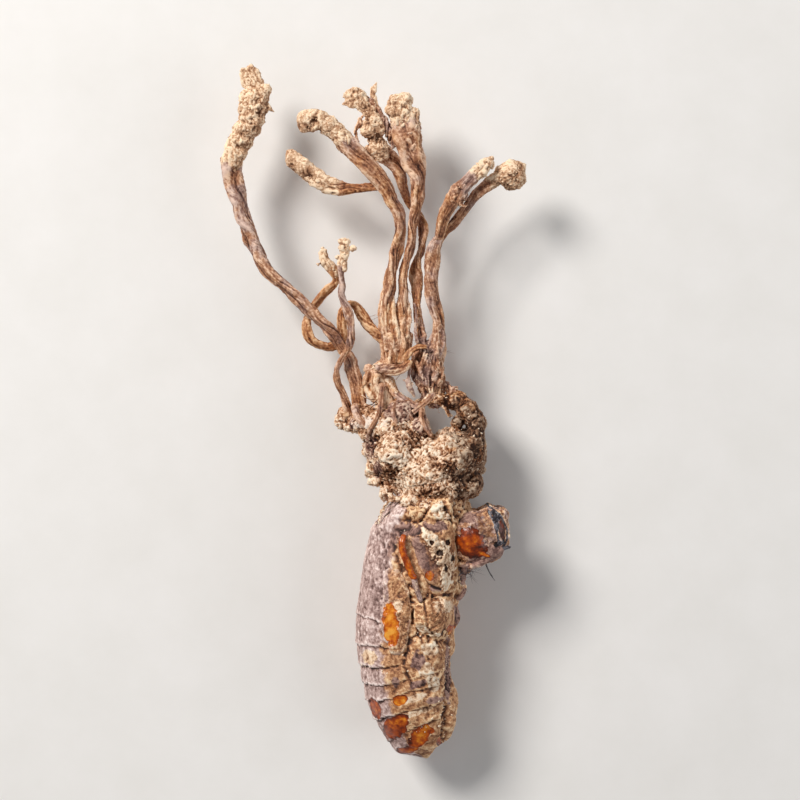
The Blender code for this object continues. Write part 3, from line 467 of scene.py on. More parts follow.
class Nodes:
    """Short names for a material's nodes and the links between them."""

    def __init__(self, name):
        """Starts a material with the given name."""
        self.material = bpy.data.materials.new(name)
        self.material.use_nodes = True
        self.tree = self.material.node_tree
        self.shader = self.tree.nodes["Principled BSDF"]
        self.place = self.tree.nodes.new("ShaderNodeTexCoord").outputs["Object"]

    def put(self, node, values):
        """Sets or links each of the node's inputs that is named."""
        for name, value in values.items():
            if isinstance(value, bpy.types.NodeSocket):
                self.tree.links.new(value, node.inputs[name])
            else:
                node.inputs[name].default_value = value

    def add(self, kind, output, values, **settings):
        """An output of a new node with the given settings, and values or links at its inputs."""
        node = self.tree.nodes.new("ShaderNode" + kind)
        for name, setting in settings.items():
            setattr(node, name, setting)
        self.put(node, values)
        return node.outputs[output]

    def mark(self, name):
        """A mark of the mesh's own, by its name."""
        return self.add("Attribute", "Fac", {}, attribute_name=name)

    def noise(self, size_mm, detail, roughness=0.6, stretch=(1, 1, 1)):
        """Noise from 0 to 1 with features of the given size, drawn out along an axis by a small stretch."""
        drawn = self.add("Mapping", "Vector", {"Vector": self.place, "Scale": stretch})
        values = {"Vector": drawn, "Scale": 1 / (size_mm * MM), "Detail": detail, "Roughness": roughness}
        return self.add("TexNoise", "Fac", values)

    def cells(self, size_mm, bend=0.9):
        """A value of its own, from 0 to 1, for each ragged crumb of the given size."""
        rate = 1 / (size_mm * MM)
        place = self.add("TexNoise", "Color", {"Vector": self.place, "Scale": rate})
        for kind, values in (("SUBTRACT", {1: (0.5, 0.5, 0.5)}), ("SCALE", {"Scale": bend / rate}),
                             ("ADD", {1: self.place})):
            place = self.add("VectorMath", "Vector", {0: place, **values}, operation=kind)
        return self.add("TexVoronoi", "Color", {"Vector": place, "Scale": rate})

    def calc(self, kind, *values):
        """The values put together by a kind of sum."""
        return self.add("Math", 0, dict(enumerate(values)), operation=kind)

    def blend(self, *terms):
        """0.5 and a share of how far each (value or mark's name, share) is from its middle of 0.5."""
        total = 0.5 - 0.5 * sum(share for _, share in terms)
        for value, share in terms:
            found = self.mark(value) if isinstance(value, str) else value
            total = self.calc("MULTIPLY_ADD", found, share, total)
        return total

    def ramp(self, value, *stops):
        """The value as a colour, by stops that hold a value and the red, green and blue there."""
        node = self.tree.nodes.new("ShaderNodeValToRGB")
        points = node.color_ramp.elements
        while len(points) < len(stops):
            points.new(0.5)
        for point, (place, *colour) in zip(points, stops):
            point.position = place
            point.color = srgb(*colour)
        self.put(node, {"Fac": value})
        return node.outputs["Color"]

    def step(self, value, low, high):
        """0 up to low, 1 from high on and smooth between them."""
        values = {"Value": value, "From Min": low, "From Max": high}
        return self.add("MapRange", "Result", values, interpolation_type="SMOOTHSTEP")

    def mix(self, share, a, b):
        """Colour a where the share is 0 and colour b where it is 1."""
        return self.add("Mix", "Result", {"Factor": share, "A": a, "B": b}, data_type="RGBA")

    def over(self, colour, other, low, high, *terms):
        """The colour, with the other laid over it where the terms blend to high and not where to low."""
        return self.mix(self.step(self.blend(*terms), low, high), colour, other)

    def finish(self, colour, roughness, specular=0.3, height=None, depth_mm=0.03, strength=0.5):
        """The finished material, with fine relief from the height where one is given."""
        if height is not None:
            values = {"Height": height, "Distance": depth_mm * MM, "Strength": strength}
            self.put(self.shader, {"Normal": self.add("Bump", "Normal", values)})
        self.put(self.shader, {"Base Color": colour, "Roughness": roughness, "Specular IOR Level": specular})
        return self.material


def srgb(red, green, blue):
    """A colour given as 0 to 255 screen values, as the light values that a shader takes."""
    light = [((v / 255 + 0.055) / 1.055) ** 2.4 if v > 10.3 else v / 255 / 12.92 for v in (red, green, blue)]
    return (*light, 1.0)


def stalk_material():
    """Dried brown strands: folds painted dark as shade, ridges pale, partly worn and partly painted
    highlight, turning to cream powder on the head.
    """
    n = Nodes("stalk")
    grain = n.noise(0.28, 6, 0.72)
    speck = n.noise(0.09, 3)
    # ridge and fine paint the crests paler and the hollows darker: painted highlight and painted shade.
    value = n.blend(("ridge", 0.28), ("fine", 0.26), ("tone", 0.4), (grain, 0.75), (speck, 0.3),
                    (n.noise(1.4, 4), 0.6))
    brown = n.ramp(value, (0.18, 46, 21, 12), (0.34, 100, 59, 39), (0.5, 148, 99, 72),
                   (0.66, 186, 136, 104), (0.84, 238, 200, 170))
    ruddy = n.ramp(value, (0.18, 42, 17, 7), (0.34, 106, 57, 30), (0.5, 154, 95, 57), (0.66, 194, 136, 90),
                   (0.84, 240, 198, 154))
    dusky = n.ramp(value, (0.18, 48, 29, 26), (0.36, 106, 75, 67), (0.56, 154, 119, 106),
                   (0.84, 220, 190, 174))
    hue = n.blend((n.noise(2.2, 4), 1.3), ("rust", 0.9))
    colour = n.mix(n.step(hue, 0.18, 0.42), dusky, n.mix(n.step(hue, 0.42, 0.75), brown, ruddy))
    # The powder too is painted paler on crests and darker in hollows by ridge and fine: painted highlight and
    # shade.
    chalk = n.blend(("ridge", 0.35), ("fine", 0.28), (grain, 0.9), (n.cells(0.2), 0.25), ("tone", 0.35),
                    (n.noise(1.1, 5, 0.65), 0.9))
    cream = n.ramp(chalk, (0.12, 70, 41, 26), (0.28, 126, 86, 60), (0.42, 172, 129, 98),
                   (0.58, 208, 166, 131), (0.78, 250, 222, 190))
    colour = n.over(colour, cream, 0.5, 0.74, ("powder", 1.0), (n.noise(0.7, 5, 0.7), 0.9), ("ridge", 0.3))
    # A dark brown laid in the heads' wrinkles and pits as painted shade, and in a few random patches.
    colour = n.over(colour, srgb(80, 48, 31), 0.3, 0.9, ("pit", 1.0), (grain, 0.5))
    roughness = n.calc("MULTIPLY_ADD", n.mark("powder"), 0.3, 0.62)
    return n.finish(colour, roughness, height=n.blend((speck, 1.0), (grain, 0.8)))


def crust_material():
    """Granular crust: cream grains, hollows and pits painted brown to nearly black as shade, purple-brown
    where it is bare.
    """
    n = Nodes("crust")
    grain = n.noise(0.25, 6, 0.72)
    # ridge and fine paint the crests paler and the hollows and pits darker: painted highlight and painted
    # shade.
    value = n.blend(("ridge", 0.2), ("fine", 0.35), (grain, 0.9), (n.cells(0.3), 0.45),
                    (n.noise(1.8, 5, 0.65), 0.9), ("tone", 0.4), ("shade", 0.55))
    tan = n.ramp(value, (0.14, 58, 30, 17), (0.28, 112, 69, 44), (0.4, 158, 112, 82), (0.52, 196, 152, 119),
                 (0.66, 232, 194, 162), (0.84, 255, 236, 212))
    grey = n.ramp(value, (0.16, 50, 31, 22), (0.36, 106, 75, 56), (0.54, 144, 110, 86),
                  (0.8, 200, 176, 152))
    rusty = n.ramp(value, (0.16, 40, 18, 9), (0.36, 114, 66, 38), (0.54, 166, 110, 70),
                   (0.78, 220, 172, 128))
    bare = n.ramp(value, (0.16, 52, 31, 27), (0.4, 114, 78, 68), (0.6, 160, 120, 103),
                  (0.84, 226, 196, 174))
    white = n.ramp(value, (0.16, 112, 84, 66), (0.4, 190, 162, 142), (0.66, 236, 218, 204))
    colour = n.over(tan, grey, 0.28, 0.62, (n.noise(1.5, 5, 0.65), 1.4), ("dusk", 0.9))
    colour = n.over(colour, rusty, 0.5, 0.75, (n.noise(1.1, 5, 0.65), 1.4), ("rust", 0.5))
    colour = n.over(colour, bare, 0.45, 0.75, ("bare", 0.9), (n.noise(0.6, 5), 1.2))
    colour = n.over(colour, white, 0.5, 0.7, ("white", 1.0), (n.noise(0.4, 4), 0.7))
    height = n.blend((n.noise(0.08, 4, 0.7), 1.0), (grain, 0.8))
    return n.finish(colour, 0.9, 0.2, height, 0.035, 0.6)


def husk_material():
    """The nymph's skin: lilac-grey bloom over brown, cracks painted dark as shade, clay crumbs and glossy
    amber windows.
    """
    n = Nodes("husk")
    grain = n.noise(0.3, 7, 0.72)
    streak = n.noise(0.6, 5, 0.65, (1.0, 0.75, 1.0))
    # ridge and fine paint the crests paler and the hollows darker: painted highlight and painted shade.
    value = n.blend(("ridge", 0.4), ("fine", 0.35), (grain, 0.9), (streak, 0.3), (n.noise(0.1, 3), 0.3),
                    (n.noise(1.6, 5, 0.65), 0.9))
    brown = n.ramp(value, (0.14, 58, 30, 18), (0.32, 120, 74, 46), (0.48, 170, 116, 78),
                   (0.64, 208, 156, 112), (0.85, 250, 214, 170))
    lilac = n.ramp(value, (0.14, 66, 43, 38), (0.3, 116, 86, 79), (0.46, 162, 132, 124),
                   (0.62, 202, 172, 164), (0.85, 250, 230, 222))
    dusk = n.ramp(value, (0.2, 44, 24, 22), (0.45, 112, 78, 70), (0.7, 178, 140, 126))
    clay = n.ramp(value, (0.2, 100, 64, 42), (0.38, 182, 138, 104), (0.56, 236, 202, 168),
                  (0.82, 254, 238, 214))
    colour = n.over(brown, lilac, 0.4, 0.68, ("bloom", 1.0), (n.noise(0.9, 5), 0.9))
    # A dark purple-brown, partly the skin's own and partly painted shade in hollows and under edges.
    colour = n.over(colour, dusk, 0.1, 0.6, ("dusk", 1.0), (n.noise(0.5, 4), 0.7),
                    (n.noise(1.7, 5, 0.65), 0.9))
    colour = n.over(colour, clay, 0.3, 0.7, ("clay", 1.0), (n.noise(0.3, 5, 0.7), 0.9),
                    (n.noise(1.3, 5, 0.65), 0.7))
    specks = n.step(n.noise(0.34, 3, 0.55), 0.63, 0.7)
    colour = n.mix(n.calc("MULTIPLY", specks, 0.75), colour, srgb(64, 38, 28))
    # Cracks, seams, holes and the ground under plate edges get a near-black painted shade.
    colour = n.over(colour, srgb(46, 25, 17), 0.4, 1.0, ("crease_shade", 0.95), (grain, 0.9),
                    (n.noise(1.2, 4), 0.8))
    # The amber is painted lighter on crests and at the light spots, as painted light shining in it.
    depth = n.blend((n.noise(0.9, 5), 1.3), ("ridge", 0.3), ("amber", 0.4), ("light", 0.7), (grain, 0.3))
    glow = n.ramp(depth, (0.3, 72, 26, 9), (0.5, 126, 46, 11), (0.68, 176, 76, 14), (0.86, 216, 122, 26),
                  (1.0, 238, 164, 64))
    window = n.step(n.blend(("amber", 1.0), (n.noise(0.4, 5, 0.7), 0.6)), 0.3, 0.55)
    colour = n.mix(window, colour, glow)
    claw = n.step(n.mark("claw"), 0.35, 0.6)
    black = n.ramp(value, (0.3, 20, 14, 14), (0.6, 58, 52, 58), (0.85, 128, 122, 128))
    colour = n.mix(claw, colour, black)
    shine = n.calc("MAXIMUM", window, n.calc("MULTIPLY", claw, 0.85))
    height = n.blend((n.noise(0.1, 4, 0.7), 0.8), (grain, 1.0))
    return n.finish(colour, n.calc("MULTIPLY_ADD", shine, -0.48, 0.74), 0.45, height, 0.03, 0.4)


# Stalks: each route runs from the tip of the head to the foot

TALL_STALK = [
    (-14.2, 37.9, 6.6, 0.6), (-13.7, 36.7, 6.6, 0.9), (-13.2, 35.7, 6.6, 1.0), (-13.0, 34.5, 6.6, 1.3),
    (-13.3, 33.2, 6.6, 1.4), (-13.6, 31.9, 6.5, 1.3), (-14.4, 30.6, 6.4, 1.25), (-15.0, 29.2, 6.3, 1.15),
    (-15.6, 27.9, 6.2, 1.15), (-15.7, 26.6, 6.2, 1.1), (-15.4, 25.0, 6.2, 0.98), (-14.6, 22.2, 6.2, 0.95),
    (-13.8, 20.0, 6.3, 0.9), (-12.9, 17.8, 6.4, 0.88), (-11.7, 15.6, 6.7, 0.8), (-9.7, 13.8, 6.9, 0.7),
    (-7.5, 11.6, 7.0, 0.72), (-5.4, 9.6, 7.0, 0.64), (-3.8, 7.5, 6.7, 0.58), (-2.7, 5.9, 6.3, 0.58),
    (-2.4, 4.6, 6.1, 0.7), (-1.9, 3.0, 5.9, 0.68), (-1.7, 1.1, 5.8, 0.7), (-1.6, -0.4, 5.8, 0.75),
    (-1.2, -1.8, 5.8, 0.8),
]
LOOP_STALK = [
    (-5.6, 17.9, 7.6, 0.3), (-5.4, 17.0, 7.6, 0.5), (-5.0, 16.2, 7.5, 0.55), (-4.4, 15.4, 7.4, 0.5),
    (-4.1, 14.7, 7.2, 0.42), (-4.4, 14.0, 7.0, 0.45), (-5.3, 13.2, 6.7, 0.52), (-6.2, 12.2, 6.0, 0.52),
    (-6.9, 11.3, 5.5, 0.44), (-7.3, 10.3, 5.3, 0.46), (-7.4, 9.2, 5.3, 0.52), (-7.0, 8.1, 5.3, 0.54),
    (-6.2, 7.5, 5.2, 0.5), (-5.0, 7.2, 5.0, 0.5), (-4.0, 7.5, 4.9, 0.48), (-3.4, 8.4, 5.0, 0.47),
    (-3.5, 9.7, 5.3, 0.5), (-3.4, 11.0, 5.6, 0.46), (-2.8, 11.8, 5.9, 0.42), (-2.0, 11.7, 6.0, 0.48),
    (-1.3, 10.7, 6.1, 0.62), (-0.4, 9.4, 6.1, 0.68), (0.6, 8.3, 6.1, 0.66), (1.6, 7.4, 6.1, 0.6),
]
TWISTED_STALK = [
    (-3.0, 18.9, 8.6, 0.35), (-3.1, 18.2, 8.6, 0.55), (-3.2, 17.1, 8.5, 0.5), (-3.5, 15.8, 8.4, 0.45),
    (-3.5, 14.7, 8.3, 0.36), (-3.4, 13.8, 8.2, 0.44), (-3.5, 12.9, 8.1, 0.44), (-3.2, 12.0, 8.0, 0.36),
    (-2.8, 11.0, 7.9, 0.42), (-2.5, 9.7, 7.9, 0.35), (-2.5, 8.1, 7.9, 0.36), (-2.8, 6.9, 7.8, 0.34),
    (-3.4, 6.0, 7.6, 0.34), (-3.9, 5.0, 7.3, 0.38), (-4.1, 4.0, 7.0, 0.42), (-3.9, 3.0, 6.7, 0.38),
    (-3.4, 2.1, 6.4, 0.36), (-3.0, 1.0, 6.1, 0.38), (-2.6, -0.4, 5.8, 0.45),
]
ARCHED_STALK = [
    (-7.6, 31.6, 8.4, 0.7), (-7.2, 31.9, 8.4, 1.0), (-5.9, 31.9, 8.4, 1.0), (-4.8, 31.2, 8.3, 1.05),
    (-3.7, 30.3, 8.2, 1.06), (-2.9, 29.3, 8.2, 0.98), (-1.7, 28.1, 8.2, 0.84), (-0.6, 27.0, 8.1, 0.86),
    (0.4, 25.9, 8.0, 0.86), (1.3, 24.7, 7.8, 0.84), (1.9, 23.3, 7.6, 0.8), (2.6, 22.0, 7.5, 0.74),
    (2.9, 20.7, 7.4, 0.66), (2.8, 19.3, 7.3, 0.68), (2.4, 17.3, 7.2, 0.68), (1.9, 15.3, 7.0, 0.7),
    (1.7, 13.4, 6.8, 0.78), (1.4, 11.8, 6.7, 0.72), (1.35, 10.1, 6.6, 0.7), (1.7, 8.8, 6.5, 0.66),
    (2.0, 7.0, 6.9, 0.6), (1.9, 5.4, 6.7, 0.55),
]
SIDE_STALK = [
    (-9.2, 27.9, 6.4, 0.7), (-8.9, 27.7, 6.4, 0.9), (-8.1, 27.2, 6.4, 1.0), (-7.0, 26.3, 6.4, 1.0),
    (-5.9, 25.5, 6.5, 1.0), (-4.6, 24.9, 6.6, 0.85), (-3.1, 24.6, 6.7, 0.68), (-1.8, 24.6, 6.8, 0.5),
    (-0.6, 24.7, 6.9, 0.44), (0.4, 24.7, 7.0, 0.42), (1.3, 24.4, 7.4, 0.4),
]
CLUSTER_STALK = [
    (-0.7, 32.0, 6.8, 0.7), (-0.3, 31.1, 6.7, 0.9), (0.3, 29.8, 6.5, 0.95), (0.8, 28.8, 6.2, 0.95),
    (1.7, 28.1, 5.8, 0.85), (2.4, 27.3, 5.4, 0.76), (2.9, 26.2, 5.1, 0.72), (3.2, 25.0, 4.9, 0.62),
    (3.6, 23.8, 4.9, 0.5), (4.1, 22.8, 5.0, 0.44), (4.8, 22.1, 5.2, 0.44), (5.3, 21.2, 5.3, 0.47),
    (5.5, 19.8, 5.4, 0.52), (5.3, 18.0, 5.4, 0.48), (4.9, 16.9, 5.4, 0.52), (4.6, 15.8, 5.4, 0.64),
    (4.6, 14.9, 5.5, 0.72), (4.7, 13.8, 5.6, 0.6), (4.7, 12.7, 5.8, 0.48), (4.7, 11.8, 5.9, 0.42),
    (4.8, 10.8, 6.0, 0.4), (5.0, 9.5, 6.0, 0.44), (5.2, 8.1, 6.0, 0.5), (5.3, 6.5, 6.0, 0.5),
]
CENTRE_STALK = [
    (2.6, 34.9, 7.2, 0.7), (2.9, 34.1, 7.2, 1.0), (3.1, 33.0, 7.2, 1.2), (3.5, 31.7, 7.2, 1.3),
    (3.8, 30.3, 7.2, 1.3), (4.1, 28.8, 7.1, 1.22), (4.3, 27.7, 7.1, 1.2), (4.7, 26.5, 7.0, 1.0),
    (4.9, 25.2, 7.0, 0.78), (4.8, 23.3, 7.0, 0.68), (4.6, 22.2, 6.9, 0.6), (4.3, 20.9, 6.8, 0.54),
    (4.2, 19.5, 6.7, 0.56), (4.0, 17.8, 6.6, 0.6), (3.5, 16.2, 6.6, 0.58), (3.25, 14.7, 6.6, 0.62),
    (3.3, 13.4, 6.5, 0.64), (3.2, 12.0, 6.4, 0.7), (3.05, 10.3, 6.3, 0.78), (2.9, 8.8, 6.5, 0.72),
    (3.1, 7.2, 6.9, 0.6), (2.8, 5.4, 6.7, 0.5),
]
FORKED_STEM = [
    (7.15, 19.3, 7.4, 0.4), (7.0, 18.6, 7.3, 0.6), (6.6, 17.7, 7.2, 0.76), (6.5, 16.7, 7.1, 0.78),
    (6.4, 15.2, 7.0, 0.7), (6.4, 13.6, 6.8, 0.7), (6.6, 12.3, 6.7, 0.68), (6.9, 11.2, 6.6, 0.64),
    (7.2, 10.1, 6.5, 0.6), (7.15, 8.8, 6.4, 0.68), (7.1, 7.2, 6.2, 0.86), (6.8, 5.6, 6.0, 0.8),
]
INNER_BRANCH = [
    (12.7, 27.7, 8.4, 0.5), (12.4, 27.2, 8.4, 0.7), (11.9, 26.5, 8.2, 0.74), (11.2, 25.9, 8.1, 0.66),
    (10.4, 25.2, 8.0, 0.6), (9.6, 24.4, 7.9, 0.74), (9.0, 23.6, 7.9, 0.8), (8.3, 22.6, 7.9, 0.74),
    (7.8, 21.6, 7.8, 0.66), (7.4, 20.2, 7.7, 0.54), (7.1, 18.9, 7.4, 0.45),
]
OUTER_BRANCH = [
    (15.5, 26.3, 6.9, 0.9), (15.1, 26.1, 6.9, 1.2), (14.3, 26.0, 6.9, 1.1), (13.5, 25.6, 6.9, 0.85),
    (13.0, 25.2, 6.8, 0.7), (12.2, 24.6, 6.7, 0.55), (11.3, 23.9, 6.5, 0.5), (10.5, 22.9, 6.4, 0.46),
    (9.7, 21.9, 6.4, 0.52), (9.0, 20.9, 6.5, 0.5), (8.1, 20.0, 6.8, 0.42), (7.5, 19.2, 7.1, 0.4),
    (7.1, 18.6, 7.3, 0.36),
]

# Heads: lumps, routes of tubes that are grown into them, and pits as x, y, radius

TALL_HEAD = dict(rough=0.75, lumps=[
    (-13.0, 34.5, 6.6, 1.5, 1.2, 1.4), (-13.3, 33.3, 6.6, 1.75, 1.2, 1.6),
    (-13.4, 32.2, 6.6, 1.55, 1.1, 1.5), (-14.0, 31.1, 6.5, 1.6, 1.1, 1.5),
    (-14.7, 29.8, 6.4, 1.45, 1.2, 1.4), (-15.2, 28.6, 6.3, 1.3, 1.2, 1.25),
    (-15.7, 27.4, 6.2, 1.2, 1.3, 1.15), (-11.9, 35.4, 6.9, 0.75, 0.62, 0.7),
    (-12.3, 34.6, 7.4, 0.7, 0.8, 0.6), (-14.2, 34.4, 6.9, 0.6, 1.0, 0.6),
], tubes=[
    [(-14.5, 37.7, 6.8, 0.35), (-14.1, 36.9, 6.8, 0.42), (-13.6, 36.0, 6.8, 0.45), (-13.2, 35.0, 6.8, 0.5)],
    [(-13.7, 38.0, 6.6, 0.45), (-13.1, 37.3, 6.6, 0.6), (-12.8, 36.2, 6.6, 0.65), (-12.6, 35.2, 6.6, 0.7)],
    [(-11.6, 33.6, 6.8, 0.3), (-11.1, 33.1, 6.8, 0.22), (-10.9, 32.9, 6.8, 0.12)],
], pits=[
    (-13.6, 36.8, 0.45), (-12.8, 34.0, 0.5), (-12.4, 32.9, 0.55), (-13.3, 32.0, 0.45), (-13.1, 31.0, 0.3),
])
ARCHED_HEAD = dict(rough=0.5, lumps=[
    (-6.9, 32.0, 8.4, 1.1, 1.05, 1.1), (-5.9, 31.9, 8.4, 1.2, 1.1, 1.1), (-4.9, 31.3, 8.3, 1.15, 1.1, 1.1),
    (-4.0, 30.6, 8.2, 1.1, 1.1, 1.05), (-3.2, 29.7, 8.2, 0.95, 1.2, 0.95, 40),
    (-7.4, 32.0, 8.5, 1.0, 1.0, 1.0), (-6.4, 32.2, 8.4, 1.0, 0.95, 1.0), (-7.4, 31.1, 8.5, 0.75, 0.7, 0.7),
    (-6.6, 31.0, 8.5, 0.6, 0.5, 0.6),
], pits=[(-6.5, 31.6, 0.6), (-6.9, 30.9, 0.3)])
SIDE_HEAD = dict(rough=0.35, lumps=[
    (-9.0, 27.9, 6.4, 0.75, 1.1, 0.9), (-8.2, 27.3, 6.4, 1.0, 1.0, 1.0), (-7.2, 26.5, 6.4, 1.1, 0.95, 1.0),
    (-6.2, 25.9, 6.4, 1.05, 0.85, 0.95), (-5.3, 25.4, 6.5, 0.95, 0.7, 0.85),
    (-9.3, 28.6, 6.4, 0.35, 0.35, 0.4), (-7.0, 25.8, 6.3, 1.0, 0.6, 0.7, -25),
    (-5.8, 25.1, 6.3, 1.2, 0.5, 0.6, -20), (-8.6, 27.6, 6.4, 0.95, 1.0, 0.9),
    (-7.7, 26.9, 6.4, 1.05, 0.9, 1.0), (-6.7, 26.2, 6.4, 1.0, 0.85, 0.9),
])
CLUSTER_HEAD = dict(rough=0.75, soften=9, flats=(0.5,), lumps=[
    (-2.1, 34.5, 7.4, 1.15, 1.2, 0.55, 138), (-1.3, 33.8, 7.4, 1.1, 0.9, 0.5, 138),
    (-0.5, 33.0, 7.3, 1.0, 0.7, 0.5, 138), (0.1, 32.3, 7.2, 0.8, 0.6, 0.5, 138),
    (-3.1, 33.8, 7.3, 0.35, 0.3, 0.3), (-2.1, 35.3, 7.5, 0.6, 0.45, 0.5), (-3.0, 34.6, 7.4, 0.35, 0.4, 0.4),
    (-0.2, 31.5, 7.4, 1.1, 1.0, 0.9), (-0.5, 30.8, 7.4, 1.0, 0.8, 0.9), (0.4, 31.0, 7.2, 0.9, 0.9, 0.8),
    (0.2, 30.0, 7.0, 0.8, 0.6, 0.6), (0.4, 28.9, 6.9, 1.15, 0.95, 0.85), (-0.1, 28.1, 6.7, 0.5, 0.4, 0.5),
    (0.6, 27.9, 6.7, 0.5, 0.4, 0.5), (1.1, 28.3, 6.6, 0.6, 0.6, 0.5), (-0.7, 28.9, 6.6, 0.4, 0.4, 0.4),
], tubes=[
    [(0.35, 36.2, 6.7, 0.12), (0.0, 35.7, 6.7, 0.32), (-0.05, 35.0, 6.7, 0.36), (0.1, 34.2, 6.8, 0.4),
     (0.5, 33.2, 6.8, 0.42)],
], pits=[(-1.0, 31.0, 0.25), (0.5, 29.9, 0.5), (-0.9, 32.2, 0.4), (1.5, 29.6, 0.5), (0.3, 31.8, 0.25)])
CLUSTER_LEAF = dict(cover=0.2, soften=4, flats=(0.6, 1.0), lumps=[], tubes=[
    [(-0.9, 34.9, 7.0, 0.2), (-0.2, 34.0, 7.2, 0.4), (0.6, 32.8, 7.1, 0.5), (1.3, 31.5, 6.9, 0.55),
     (1.9, 30.2, 6.8, 0.5), (2.3, 29.0, 6.7, 0.4)],
    [(-1.1, 32.5, 7.3, 0.16), (-1.5, 32.2, 7.5, 0.24), (-1.5, 31.6, 7.6, 0.24), (-1.95, 30.8, 7.5, 0.24),
     (-1.9, 30.1, 7.2, 0.22), (-1.5, 29.6, 7.0, 0.16)],
])
CENTRE_HEAD = dict(rough=0.8, bare=(30.0, 32.9), lumps=[
    (2.5, 34.0, 7.2, 1.0, 0.95, 1.0), (3.4, 34.2, 7.2, 0.9, 0.9, 0.95), (2.2, 33.0, 7.3, 0.95, 1.0, 1.0),
    (2.9, 33.3, 7.3, 1.1, 1.2, 1.05), (3.8, 32.0, 7.3, 1.1, 1.2, 1.0), (3.4, 32.8, 7.3, 1.2, 1.0, 1.1),
    (4.4, 32.4, 7.1, 0.75, 0.95, 0.9), (3.0, 31.6, 7.3, 1.2, 1.0, 1.1), (4.4, 31.2, 7.2, 0.9, 1.1, 1.0),
    (3.6, 30.3, 7.3, 1.2, 1.0, 1.05), (4.6, 29.8, 7.1, 0.8, 1.1, 0.9), (4.1, 28.9, 7.1, 1.0, 0.9, 1.0),
], pits=[(3.3, 33.4, 0.4), (3.0, 31.5, 0.5), (4.1, 31.2, 0.4), (3.9, 30.0, 0.4), (2.5, 31.0, 0.3)])
INNER_HEAD = dict(lumps=[
    (12.4, 27.2, 8.4, 0.8, 0.72, 0.75), (11.8, 26.8, 8.3, 0.65, 0.6, 0.65),
    (12.9, 27.8, 8.3, 0.35, 0.3, 0.4), (11.3, 26.1, 8.1, 0.6, 0.55, 0.6), (12.9, 26.8, 8.3, 0.4, 0.4, 0.4),
], pits=[(12.3, 27.1, 0.35)])
INNER_KNOT = dict(soften=6, cover=0.35, lumps=[
    (9.2, 24.2, 7.9, 0.85, 0.85, 0.8), (9.7, 23.6, 7.9, 0.65, 0.7, 0.65),
    (8.7, 23.3, 7.9, 0.75, 0.85, 0.75), (9.9, 24.7, 7.9, 0.6, 0.5, 0.55),
], tubes=[
    [(9.2, 23.0, 8.0, 0.3), (9.7, 22.5, 8.1, 0.24), (10.1, 22.4, 8.1, 0.18), (10.3, 22.7, 8.1, 0.12)],
], pits=[(9.1, 23.2, 0.35), (8.8, 24.5, 0.2)])
OUTER_HEAD = dict(lumps=[
    (15.1, 26.0, 6.9, 1.65, 1.6, 1.6), (14.2, 26.3, 7.1, 0.9, 0.85, 0.9),
    (15.9, 26.6, 7.1, 0.85, 0.85, 0.9), (15.2, 27.0, 7.0, 0.95, 0.7, 0.9),
    (15.4, 25.0, 7.1, 0.85, 0.75, 0.9), (16.4, 25.8, 6.9, 0.5, 0.7, 0.7),
    (13.6, 25.5, 6.9, 0.75, 0.55, 0.65), (13.2, 25.1, 6.8, 0.5, 0.45, 0.5),
], pits=[(15.0, 25.8, 0.4), (15.6, 26.0, 0.3), (14.4, 25.6, 0.25)])
TWISTED_HEAD = dict(soften=5, lumps=[
    (-3.2, 18.6, 8.6, 0.7, 0.42, 0.5), (-2.3, 17.8, 8.6, 0.48, 0.4, 0.45),
    (-3.4, 17.9, 8.6, 0.45, 0.5, 0.45), (-3.2, 17.0, 8.5, 0.45, 0.6, 0.45),
    (-3.9, 16.9, 8.5, 0.32, 0.32, 0.35), (-3.2, 15.9, 8.4, 0.42, 0.6, 0.42),
], pits=[(-3.0, 17.9, 0.25)])
LOOP_HEAD = dict(soften=5, lumps=[
    (-5.5, 17.4, 7.6, 0.42, 0.5, 0.42), (-5.3, 16.5, 7.6, 0.6, 0.52, 0.55),
    (-4.7, 15.8, 7.5, 0.55, 0.48, 0.5), (-4.2, 15.2, 7.4, 0.45, 0.42, 0.42),
    (-5.6, 17.9, 7.6, 0.22, 0.28, 0.25), (-6.1, 16.2, 7.6, 0.24, 0.22, 0.25),
], pits=[(-5.1, 16.4, 0.22), (-4.6, 15.7, 0.2)])


